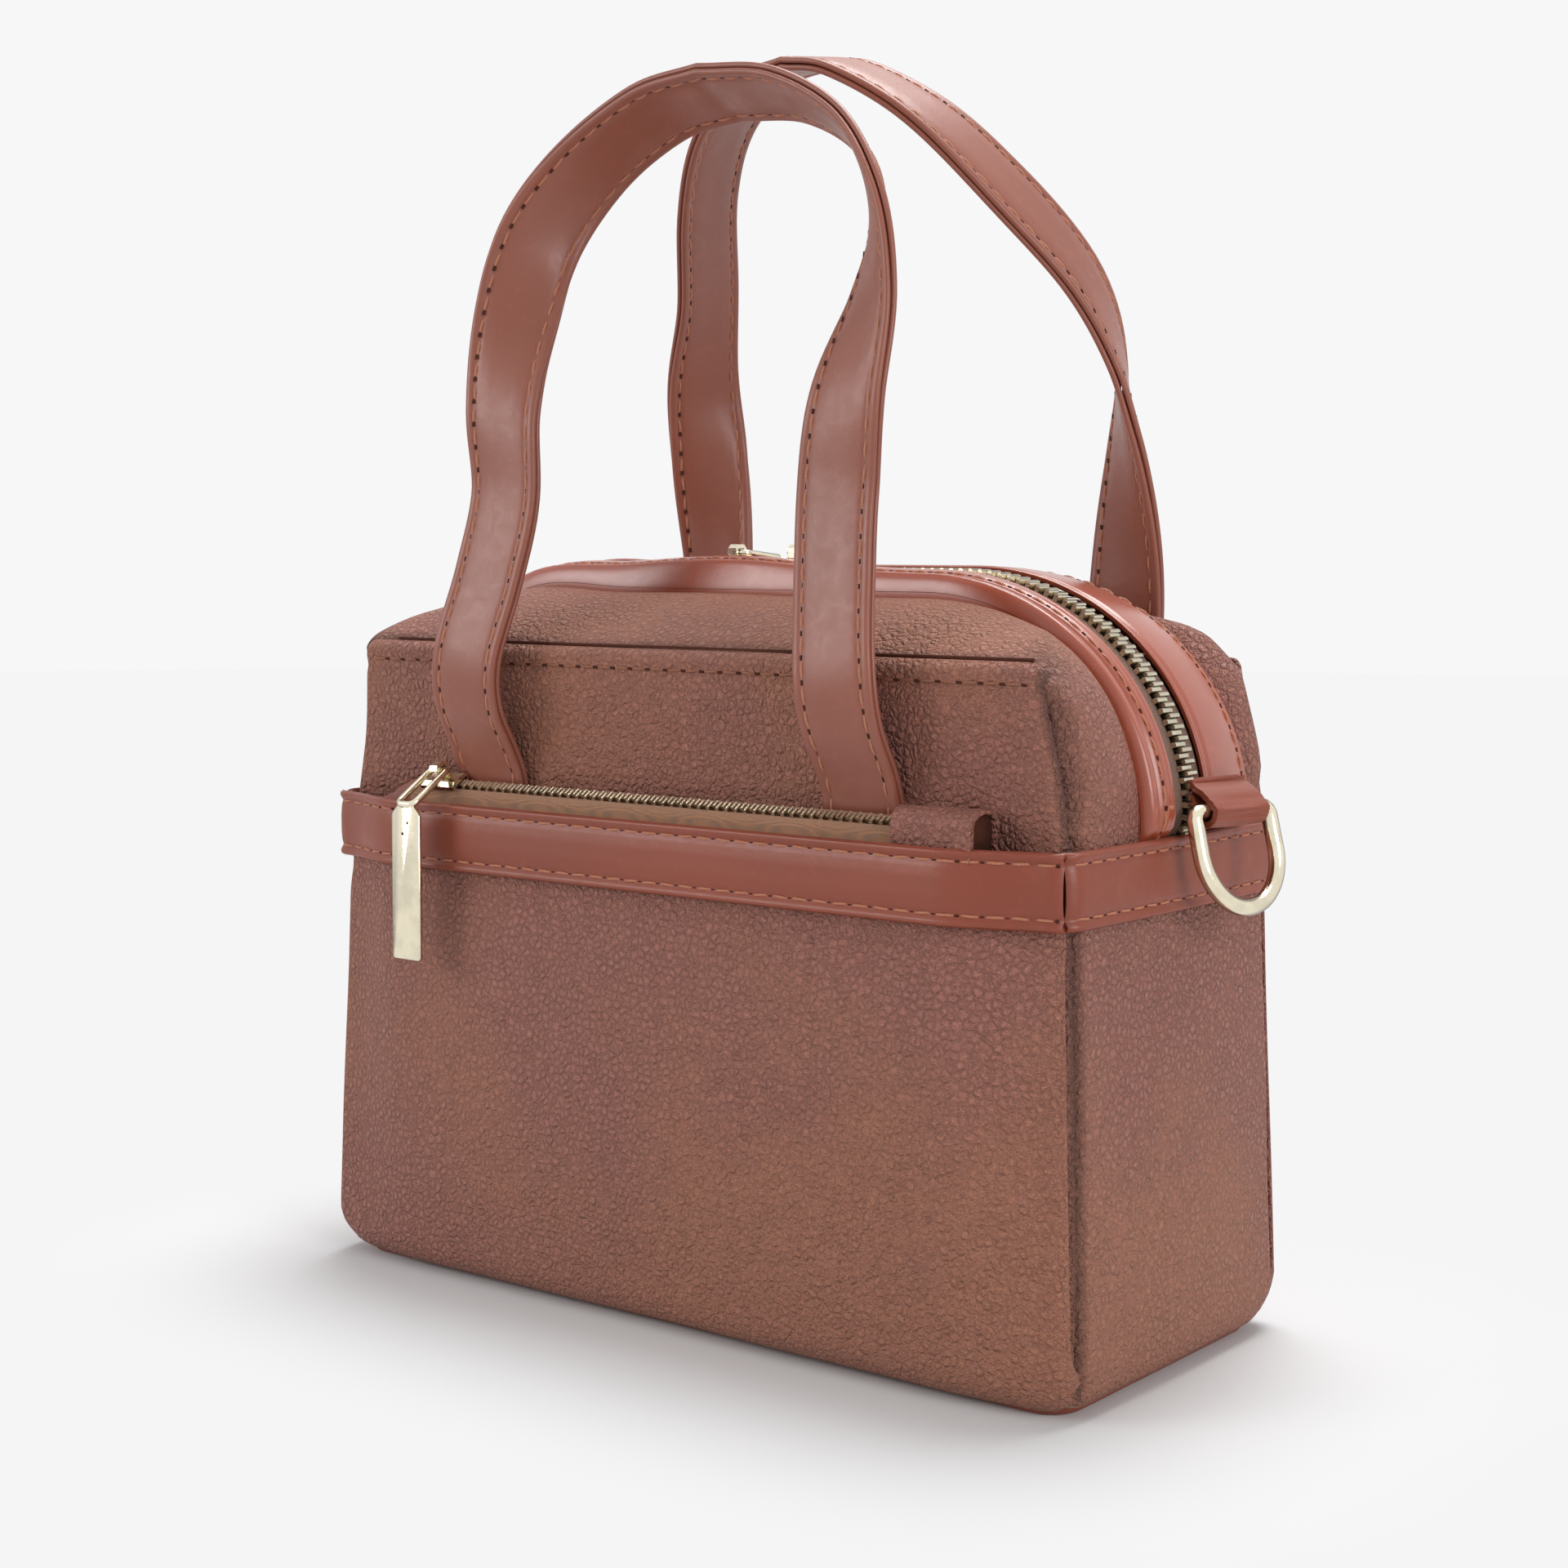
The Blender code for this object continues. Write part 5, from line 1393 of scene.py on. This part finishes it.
def make_pocket_wrap():
    """The pebbled wrap over the zip's closed end, wider at its open side, and a dark plug of
    painted shade inside it.
    """
    y0 = float(pocket_line(np.array(0.0)))
    inner_half = POCKET_CHAIN_WIDTH / 2 + 0.0009
    turns = np.linspace(0.0, np.pi, 15)

    def section(x, parts, flare=0.0):
        share = (x - WRAP_START) / (WRAP_END - WRAP_START)
        wide = 1.0 + 0.55 * share ** 2
        high = 0.90 * (1.0 + flare * math.sin(math.pi * share))
        ring = []
        for radius, order in parts:
            ring.append((-radius * wide * order, WRAP_FOOT))
            ring += [(-radius * wide * math.cos(t), POCKET_CHAIN_Z + radius * high * math.sin(t))
                     for t in turns[::order]]
            ring.append((radius * wide * order, WRAP_FOOT))
        shift = y0 + inner_half * (wide - 1.0)
        return [(x, shift + y, z) for y, z in ring]

    walls = ((inner_half + 0.0010, 1), (inner_half, -1))
    sections = [section(x, walls, 0.06) for x in np.linspace(WRAP_START, WRAP_END, 21)]
    piece = add_piece("pocket_wrap_leather", loft_mesh("pocket_wrap_leather", sections),
                      "pebbled")
    round_edges(piece, 0.0002, 60)
    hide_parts("pocket_zip_end_wrap")
    # A dark plug paints the shade inside the wrap
    plug = [section(x, ((inner_half + 0.0003, 1),)) for x in (0.0843, 0.0853)]
    add_piece("pocket_wrap_painted_shade", loft_mesh("pocket_wrap_painted_shade", plug), "seam")


def make_pocket_tab():
    """The smooth tab at the zip's start, which rises to the teeth."""
    end, length = POCKET_ZIP_LEFT - GAP, 0.018
    sections = []
    for x in np.linspace(end - length, end, 25):
        share = (x - end + length) / length
        y = float(pocket_line(np.array(x)))
        top = mix(BAND_TOP - 0.0005, POCKET_CHAIN_Z + 0.0011, ease(share))
        thick = mix(0.0007, 0.0011, share)
        ring = [(-thick, POCKET_TAPE_FOOT), (-thick * 1.1, mix(POCKET_TAPE_FOOT, top, 0.6)),
                (-thick, top - 0.0006), (-thick * 0.5, top - 0.0001), (0.0, top),
                (thick * 0.5, top - 0.0001), (thick, top - 0.0006),
                (thick, POCKET_TAPE_FOOT)]
        sections.append([(x, y + a, b) for a, b in ring])
    piece = add_piece("pocket_start_leather", loft_mesh("pocket_start_leather", sections),
                      "band")
    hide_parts("pocket_zip_start_tab")


# Handles

def handle_frames(label):
    """Centre, normal and width direction along a whole handle."""
    if label == "front":
        seat = float(band_face(np.array(FRONT_STRAP_X))) + FRONT_SEAT_DEPTH
        pivot, straight, shares, rise = FRONT_PIVOT_Z, 0.0080, FRONT_LEG_SHARES, 0.1510
        leg_x, top_y, facing = 0.0540, -0.0245, -1.0
        twist, twist_start, twist_span = math.radians(66.0), 0.35, 0.62
    else:
        seat = (float(back_band_face(np.array(BACK_STRAP_X))) - BAND_THICK - GAP
                - STRAP_THICK / 2)
        pivot, straight, shares, rise = BACK_PIVOT_Z, 0.0060, BACK_LEG_SHARES, 0.1670
        leg_x, top_y, facing = 0.0610, 0.0065, 1.0
        twist, twist_start, twist_span = math.radians(-98.0), 0.10, 0.70
    leg = [(leg_x, seat, pivot - STRAP_SEWN_IN), (leg_x, seat, pivot - straight)]
    leg += [(leg_x + dx * rise, seat + dy * rise, pivot + dz * rise) for dx, dy, dz in shares]
    leg.append((0.0, top_y, pivot + rise))
    half = curve_through(leg, 9)
    line = np.vstack((half, half[-2::-1] * np.array((-1.0, 1.0, 1.0))))
    low, high = leg[3][2], leg[-1][2]
    share = (line[:, 2] - mix(low, high, twist_start)) / (twist_span * (high - low))
    angle = twist * ease(share)
    if label == "front":
        line[:, 2] -= 0.0024 * ease((line[:, 2] - 0.20) / 0.08)
        line[:, 0] += 0.0024 * ease((line[:, 2] - 0.165) / 0.05) * ease(-line[:, 0] / 0.030)
    tangent = unit(np.gradient(line, axis=0))
    out = np.array((0.0, facing, 0.0))
    out = unit(out - tangent * (tangent @ out)[:, None])
    inward = unit(np.cross(tangent, out))
    side = np.where(np.arange(len(line)) < len(half), 1.0, -1.0)
    wanted = np.stack((-side, np.zeros_like(side), np.full_like(side, -0.6)), -1)
    flip = np.where(np.sum(inward * wanted, 1) < 0, -1.0, 1.0)
    inward = inward * flip[:, None]
    normal = out * np.cos(angle)[:, None] + inward * np.sin(angle)[:, None]
    return line, normal, unit(np.cross(tangent, normal)), seat, pivot


def strap_profile(near, far):
    """Section of one strap layer: sewn grooves and rounded borders on its outer side."""
    half = STRAP_WIDTH / 2
    edge = bpy.context.scene.bag_sewing.edge
    sign = 1.0 if far > near else -1.0
    across = np.linspace(-half + 0.0006, half - 0.0006, 31)
    inset = half - np.abs(across)
    rise = 0.00012 * hump(inset, 0.0013, 0.0009) - 0.00034 * hump(inset, edge, 0.00055)
    rise += 0.00022 * ease((inset - edge) / 0.004)
    top = [(w, far + sign * r) for w, r in zip(across, rise)]
    left = [(-half + 0.0003, near), (-half, near + sign * 0.0004), (-half, far - sign * 0.0005),
            (-half + 0.00020, far - sign * 0.00015)]
    right = [(-w, n) for w, n in reversed(left)]
    return np.array(left + top + right)


def make_handle(label):
    """A handle of two sewn layers that bends where it leaves its seat."""
    line, normal, width, seat, pivot = handle_frames(label)
    half_thick = STRAP_THICK / 2
    layers = ((f"{label}_strap_face", half_thick - STRAP_LAYER, half_thick,
               (f"{label}_handle_face", f"{label}_handle_right_end", f"{label}_handle_left_end")),
              (f"{label}_strap_backing", -half_thick + STRAP_LAYER, -half_thick,
               (f"{label}_handle_backing",)))
    lines = []
    edge = bpy.context.scene.bag_sewing.edge
    for name, near, far, nodes in layers:
        profile = strap_profile(near, far)
        sections = (line[:, None, :] + width[:, None, :] * profile[None, :, :1]
                    + normal[:, None, :] * profile[None, :, 1:])
        piece = add_piece(name, loft_mesh(name, sections), "strap", body=None)
        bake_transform(piece)
        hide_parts(*nodes)
        sign = 1.0 if far > near else -1.0
        for side in (-1.0, 1.0):
            row = (line + width * side * (STRAP_WIDTH / 2 - edge)
                   + normal * (far - sign * 0.00030))
            lines.append((row[10:-10], (normal * sign)[10:-10]))
    piece = sew(f"{label}_strap_stitches", lines, body=None, hole=1.0)
    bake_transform(piece)


# Rings and their tabs

def ring_frame(sign):
    """Place of a side's ring: its bar's middle, turned a little towards the back."""
    return (Matrix.Translation((sign * RING_BAR_X, TAB_Y, RING_BAR_Z))
            @ Matrix.Rotation(-sign * TAB_TURN, 4, "Z"))


def placed(points, place):
    """Points moved by a matrix."""
    points = np.asarray(points, float)
    turn = np.array(place.to_3x3())
    return points @ turn.T + np.array(place.translation)


def ring_outline(half, drop):
    """A D ring's outline: places across it and how far each hangs below its straight bar."""
    corner = 0.0022
    straight = max(corner, drop - half)
    bar = [(y, 0.0) for y in np.linspace(-half + corner, half - corner, 13)]
    bend = [(half - corner + corner * math.sin(turn), corner * (1 - math.cos(turn)))
            for turn in np.radians((25.0, 50.0, 75.0))]
    bow = [(half * math.cos(turn), straight + (drop - straight) * math.sin(turn))
           for turn in np.radians(np.linspace(0.0, 180.0, 41))]
    return bar + bend + bow + [(-y, down) for y, down in reversed(bend)]


def tab_path(hold, thick, rise):
    """The fold of a ring's tab: down its front, round the bar and back up, as x and z."""
    middle = hold + thick / 2
    path = [(-middle, rise), (-middle, 0.62 * rise), (-middle, 0.25 * rise)]
    path += [(middle * math.cos(t), middle * math.sin(t))
             for t in np.radians(np.linspace(180.0, 360.0, 15))]
    path += [(middle, 0.10 * rise), (0.62 * middle, 0.34 * rise), (0.30 * middle, 0.56 * rise),
             (-middle + thick + 0.0006, 0.80 * rise), (-middle + thick + 0.0004, rise)]
    return curve_through([(x - 0.0030 * float(ease(z / rise)), 0.0, z) for x, z in path], 3)


def make_side_ring(label, sign):
    """A polished D ring and the creased leather tab that holds it."""
    wire = bpy.context.scene.bag_metal.ring_wire
    place = ring_frame(sign)
    lean = np.array((sign * math.sin(RING_LEAN), 0.0, -math.cos(RING_LEAN)))
    outline = ring_outline(0.0205 / 2 + RING_WIRE, 0.0175 + 2 * RING_WIRE)
    points = [np.array((0.0, y, 0.0)) + lean * down for y, down in outline]
    name = f"{label}_ring_metal"
    ring = add_piece(name, tube_mesh(name, placed(points, place), wire), "gold",
                     body=f"{label}_ring")
    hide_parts(f"{label}_d_ring")
    thick, half = 0.0013, 0.0180 / 2
    path = tab_path(RING_WIRE + 0.0004, thick, 0.0064)
    tangent = unit(np.gradient(path, axis=0))
    across = np.clip(np.linspace(-1, 1, 21) * half, -half + 0.0005, half - 0.0005)
    lower = np.column_stack((across, np.full(len(across), -thick / 2)))
    across, height = np.vstack((lower, lower[::-1] * np.array((1.0, -1.0)))).T
    sections = []
    for i, (centre, along) in enumerate(zip(path, tangent)):
        crease = 0.00022 * np.sin(across * 160 + 2.0 * np.sin(i * 0.9)) * math.sin(i * 1.7)
        sections.append(placed(points_at(sign * (centre[0] - along[2] * (height + crease)), across,
                                         centre[2] + along[0] * (height + crease)), place))
    name = f"{label}_tab_leather"
    tab = add_piece(name, loft_mesh(name, sections), "band")
    round_edges(tab, 0.0003, 60)
    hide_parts(f"{label}_ring_tab")


def pull_link(name, pin, along):
    """A flat wire frame between a slider's crown and a plate."""
    across = np.array((1.0, 0.0, 0.0))
    half, corner = 0.0026, 0.0016
    start, end = -0.0002, LINK_LENGTH + 0.0004
    points = []
    for cx, cs, turn in ((half - corner, end - corner, 0.0), (corner - half, end - corner, 90.0),
                         (corner - half, start + corner, 180.0),
                         (half - corner, start + corner, 270.0)):
        for angle in np.radians(np.linspace(turn, turn + 90.0, 7)):
            points.append(pin + across * (cx + corner * math.cos(angle))
                          + along * (cs + corner * math.sin(angle)))
    return add_piece(name, tube_mesh(name, points, 0.00085, 10), "gold", body=None)


def pull_plate(name, place):
    """A bevelled plate with a narrow neck and two small dimples; its top is at the pin."""
    length, half, deep, corner, bevel = 0.0370, 0.0046, 0.0006, 0.0008, 0.00028
    outline = [(-half + 0.0006, -0.0020), (-0.0024, -0.0004), (-0.0016, 0.0004), (0.0016, 0.0004),
               (0.0024, -0.0004), (half - 0.0006, -0.0020), (half, -0.0028)]
    for side, start in ((1.0, 0.0), (-1.0, -90.0)):
        for turn in np.radians(np.linspace(start, start - 90.0, 5)):
            outline.append((side * (half - corner) + corner * math.cos(turn),
                            -length + corner + corner * math.sin(turn)))
    outline = np.array(outline + [(-half, -0.0028)])
    middle = np.array((0.0, -length / 2))
    inner = middle + (outline - middle) * (1.0 - bevel / np.array((half, length / 2)))
    sections = [placed(points_at(loop[:, 0], y, loop[:, 1]), place)
                for y, loop in ((-deep, inner), (-deep + bevel, outline),
                                (deep - bevel, outline), (deep, inner))]
    plate = add_piece(name, loft_mesh(name, sections), "gold", body=None)
    turns = 2 * np.pi * np.arange(10) / 10
    dots = []
    for x, z in ((0.0009, -0.0046), (-0.0007, -0.0072)):
        for side in (-1, 1):
            dots.append([placed(points_at(x + 0.00042 * np.cos(turns), side * (deep + out),
                                          z + 0.00042 * np.sin(turns)), place)
                         for out in (0.00002, -0.00010)[::side]])
    # The dimples are thin dark discs: painted shade in them
    dimples = add_piece(name + "_dimples", loft_mesh(name + "_dimples", *dots), "seam",
                        body=None)
    return plate, dimples


def make_pulls():
    """Sliders in polished gold, with wire links and bevelled plates."""
    finish_nodes("gold", "pocket_slider", "left_slider", "right_slider")
    tilt = math.radians(33.0)
    lie, hang = math.radians(5.0), math.radians(20.0)
    down = np.array((0.0, -math.cos(tilt), -math.sin(tilt)))
    back = np.array((0.0, math.cos(lie), -math.sin(lie)))
    for label, pin, along, turn in (
            ("pocket", POCKET_PIN, down, Matrix.Identity(4)),
            ("left", LEFT_PIN, back, Matrix.Rotation(math.pi / 2 - hang, 4, "X")),
            ("right", RIGHT_PIN, back, Matrix.Rotation(math.pi / 2 - hang, 4, "X"))):
        link = pull_link(f"{label}_link_metal", np.array(pin), along)
        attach(link, f"{label}_link")
        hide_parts(f"{label}_pull_link")
        end = np.array(pin) + along * LINK_LENGTH
        plate, dimples = pull_plate(f"{label}_plate_metal", Matrix.Translation(end) @ turn)
        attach(plate, f"{label}_pull")
        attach(dimples, f"{label}_pull")
        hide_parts(f"{label}_pull_plate")


# Stage

def camera_matrix():
    """The photograph's viewpoint: turned right, a little down, and level but for a hair."""
    yaw, pitch, roll = (math.radians(turn) for turn in CAMERA_TURNS)
    back = Vector((math.sin(yaw) * math.cos(pitch), -math.cos(yaw) * math.cos(pitch),
                   math.sin(pitch)))
    right = (-back).cross(Vector((0.0, 0.0, 1.0))).normalized()
    up = right.cross(-back)
    basis = Matrix((right, up, back)).transposed().to_4x4()
    return Matrix.Translation(CAMERA_PLACE) @ basis @ Matrix.Rotation(roll, 4, "Z")


def add_lamp(name, place, size, power):
    """A large soft lamp aimed at the bag."""
    light = bpy.data.lights.new(name, "AREA")
    light.shape = "DISK"
    light.size = size
    light.energy = power
    lamp = bpy.data.objects.new(name, light)
    bpy.context.scene.collection.objects.link(lamp)
    lamp.location = place
    lamp.rotation_euler = (Vector(LAMP_TARGET) - Vector(place)).to_track_quat("-Z", "Y").to_euler()


def make_floor(stage):
    """The floor, pale paper that ends in the white around it away from the bag's shadow."""
    steps = 64
    turns = 2 * np.pi * np.arange(steps) / steps
    rows = [points_at(radius * np.cos(turns), radius * np.sin(turns), 0.0)
            for radius in (0.05, 0.3, 0.8, 1.6, 3.2)]
    index = np.arange(len(rows) * steps).reshape(len(rows), steps)
    sides = (index[:-1], index[1:], np.roll(index[1:], -1, 1), np.roll(index[:-1], -1, 1))
    faces = [list(range(steps)), *np.stack(sides, -1).reshape(-1, 4).tolist()]
    mesh = mesh_from("studio_floor", rows, faces)
    floor = bpy.data.objects.new("studio_floor", mesh)
    bpy.context.scene.collection.objects.link(floor)
    material, shade, sockets, where = material_with("studio paper", 0.8, specular=0.15)
    shade.give(sockets["Base Color"], shade.blend(
        tuple(stage.floor), scaled_tone(stage.floor, 0.985), shade.noise(where, 2.0)))
    rays = shade.add("ShaderNodeLightPath").outputs
    seen = shade.maths("MAXIMUM", rays["Is Camera Ray"], rays["Is Glossy Ray"])
    beyond = shade.vector("SUBTRACT", shade.vector("ABSOLUTE", where), (0.098, 0.036, 0.0))
    apart = shade.vector("LENGTH", shade.vector("MAXIMUM", beyond))
    far = shade.times(shade.ramp(apart, 0.010, 0.095), seen)
    glow = shade.add("ShaderNodeEmission", {"Color": tone(245, 245, 246), "Strength": 1.0})
    nodes = material.node_tree.nodes
    surface = shade.add("ShaderNodeMixShader", {
        0: far, 1: nodes["Principled BSDF"].outputs[0], 2: glow.outputs[0]})
    shade.give(nodes["Material Output"].inputs[0], surface.outputs[0])
    mesh.materials.append(material)


def make_air(stage):
    """White surroundings for the eye and even light for the bag."""
    world = bpy.data.worlds.new("studio air")
    bpy.context.scene.world = world
    world.use_nodes = True
    air = Shading(world.node_tree)
    world.node_tree.nodes.clear()
    rays = air.add("ShaderNodeLightPath").outputs
    seen = air.maths("MAXIMUM", air.maths("MAXIMUM", rays["Is Camera Ray"],
                                          rays["Is Glossy Ray"]), rays["Is Transmission Ray"])
    plain = air.add("ShaderNodeBackground", {"Color": tone(247, 247, 248), "Strength": 1.0})
    even = air.add("ShaderNodeBackground", {"Color": (1.0, 1.0, 1.0, 1.0),
                                            "Strength": stage.sky})
    both = air.add("ShaderNodeMixShader", {0: seen, 1: even.outputs[0], 2: plain.outputs[0]})
    air.give(air.add("ShaderNodeOutputWorld").inputs[0], both.outputs[0])


def make_stage():
    """Pale floor, pale surroundings, soft lamps and the camera."""
    scene = bpy.context.scene
    stage = scene.bag_stage
    make_floor(stage)
    make_air(stage)
    add_lamp("key lamp", (-0.95, -1.20, 0.62), 0.8, stage.key)
    add_lamp("top lamp", (-0.05, 0.40, 1.35), 0.9, stage.top)
    add_lamp("side lamp", (1.35, -0.35, 0.55), 0.7, stage.key * 0.95)
    data = bpy.data.cameras.new("photograph camera")
    data.lens = stage.lens
    data.sensor_width = 36.0
    data.clip_start = 0.01
    camera = bpy.data.objects.new("photograph camera", data)
    scene.collection.objects.link(camera)
    camera.matrix_world = camera_matrix()
    scene.camera = camera
    scene.view_settings.view_transform = "Standard"


# Operators

def finishes_ready():
    """Mix the finishes before the first piece."""
    if not FINISHES:
        mix_finishes()


class HANDBAG_OT_panels(bpy.types.Operator):
    """Build the pocket, front, back and side panels."""
    bl_idname = "handbag.panels"
    bl_label = "Pebbled Panels"
    bl_options = {"REGISTER", "UNDO"}

    def execute(self, context):
        finishes_ready()
        make_pocket_panel()
        make_front_wall()
        make_back_panel()
        make_side_panels()
        return {"FINISHED"}


class HANDBAG_OT_base(bpy.types.Operator):
    """Build the underside, its board and the lining."""
    bl_idname = "handbag.base"
    bl_label = "Base and Lining"
    bl_options = {"REGISTER", "UNDO"}

    def execute(self, context):
        finishes_ready()
        make_bottom()
        make_lining()
        return {"FINISHED"}


class HANDBAG_OT_bands(bpy.types.Operator):
    """Build the smooth bands and their stitches."""
    bl_idname = "handbag.bands"
    bl_label = "Bands"
    bl_options = {"REGISTER", "UNDO"}

    def execute(self, context):
        finishes_ready()
        make_bands()
        return {"FINISHED"}


class HANDBAG_OT_shoulders(bpy.types.Operator):
    """Build the pebbled pieces beside the zip strips."""
    bl_idname = "handbag.shoulders"
    bl_label = "Shoulders"
    bl_options = {"REGISTER", "UNDO"}

    def execute(self, context):
        finishes_ready()
        make_shoulders()
        return {"FINISHED"}


class HANDBAG_OT_strips(bpy.types.Operator):
    """Build the smooth strips and the tapes of the top zip."""
    bl_idname = "handbag.strips"
    bl_label = "Zip Strips"
    bl_options = {"REGISTER", "UNDO"}

    def execute(self, context):
        finishes_ready()
        make_strips()
        return {"FINISHED"}


class HANDBAG_OT_teeth(bpy.types.Operator):
    """Build the teeth of the top zip."""
    bl_idname = "handbag.teeth"
    bl_label = "Zip Teeth"
    bl_options = {"REGISTER", "UNDO"}

    def execute(self, context):
        finishes_ready()
        make_main_teeth()
        return {"FINISHED"}


class HANDBAG_OT_pocket_zip(bpy.types.Operator):
    """Build the pocket's zip with its two ends."""
    bl_idname = "handbag.pocket_zip"
    bl_label = "Pocket Zip"
    bl_options = {"REGISTER", "UNDO"}

    def execute(self, context):
        finishes_ready()
        make_pocket_zip()
        return {"FINISHED"}


class HANDBAG_OT_handles(bpy.types.Operator):
    """Build both strap handles."""
    bl_idname = "handbag.handles"
    bl_label = "Handles"
    bl_options = {"REGISTER", "UNDO"}

    def execute(self, context):
        finishes_ready()
        make_handle("front")
        make_handle("back")
        return {"FINISHED"}


class HANDBAG_OT_rings(bpy.types.Operator):
    """Build the D rings and their tabs."""
    bl_idname = "handbag.rings"
    bl_label = "Rings and Tabs"
    bl_options = {"REGISTER", "UNDO"}

    def execute(self, context):
        finishes_ready()
        make_side_ring("right", 1.0)
        make_side_ring("left", -1.0)
        return {"FINISHED"}


class HANDBAG_OT_metal(bpy.types.Operator):
    """Build the links and plates of the sliders."""
    bl_idname = "handbag.metal"
    bl_label = "Sliders and Pulls"
    bl_options = {"REGISTER", "UNDO"}

    def execute(self, context):
        finishes_ready()
        make_pulls()
        return {"FINISHED"}


class HANDBAG_OT_stage(bpy.types.Operator):
    """Set the floor, the lamps and the camera."""
    bl_idname = "handbag.stage"
    bl_label = "Stage"
    bl_options = {"REGISTER", "UNDO"}

    def execute(self, context):
        finishes_ready()
        make_stage()
        return {"FINISHED"}


OPERATORS = (HANDBAG_OT_panels, HANDBAG_OT_base, HANDBAG_OT_bands,
             HANDBAG_OT_shoulders, HANDBAG_OT_strips, HANDBAG_OT_teeth,
             HANDBAG_OT_pocket_zip, HANDBAG_OT_handles, HANDBAG_OT_rings,
             HANDBAG_OT_metal, HANDBAG_OT_stage)


class HANDBAG_PT_panel(bpy.types.Panel):
    """Lists the bag's settings and building steps."""
    bl_label = "Leather Handbag"
    bl_idname = "HANDBAG_PT_panel"
    bl_space_type = "VIEW_3D"
    bl_region_type = "UI"
    bl_category = "Handbag"

    def draw(self, context):
        for name, settings in SETTINGS:
            box = self.layout.box()
            for key in settings.__annotations__:
                box.prop(getattr(context.scene, name), key)
        for item in OPERATORS:
            self.layout.operator(item.bl_idname)


def register():
    """Add the settings, operators and panel to Blender."""
    for name, settings in SETTINGS:
        bpy.utils.register_class(settings)
        setattr(bpy.types.Scene, name, PointerProperty(type=settings))
    for item in OPERATORS:
        bpy.utils.register_class(item)
    bpy.utils.register_class(HANDBAG_PT_panel)


def unregister():
    """Take the settings, operators and panel out of Blender."""
    bpy.utils.unregister_class(HANDBAG_PT_panel)
    for item in reversed(OPERATORS):
        bpy.utils.unregister_class(item)
    for name, settings in reversed(SETTINGS):
        delattr(bpy.types.Scene, name)
        bpy.utils.unregister_class(settings)


def main():
    """Build the whole bag over its frame."""
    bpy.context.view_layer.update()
    register()
    for item in OPERATORS:
        getattr(bpy.ops.handbag, item.bl_idname.split(".")[1])()
    bpy.context.view_layer.update()


if __name__ == "__main__":
    main()
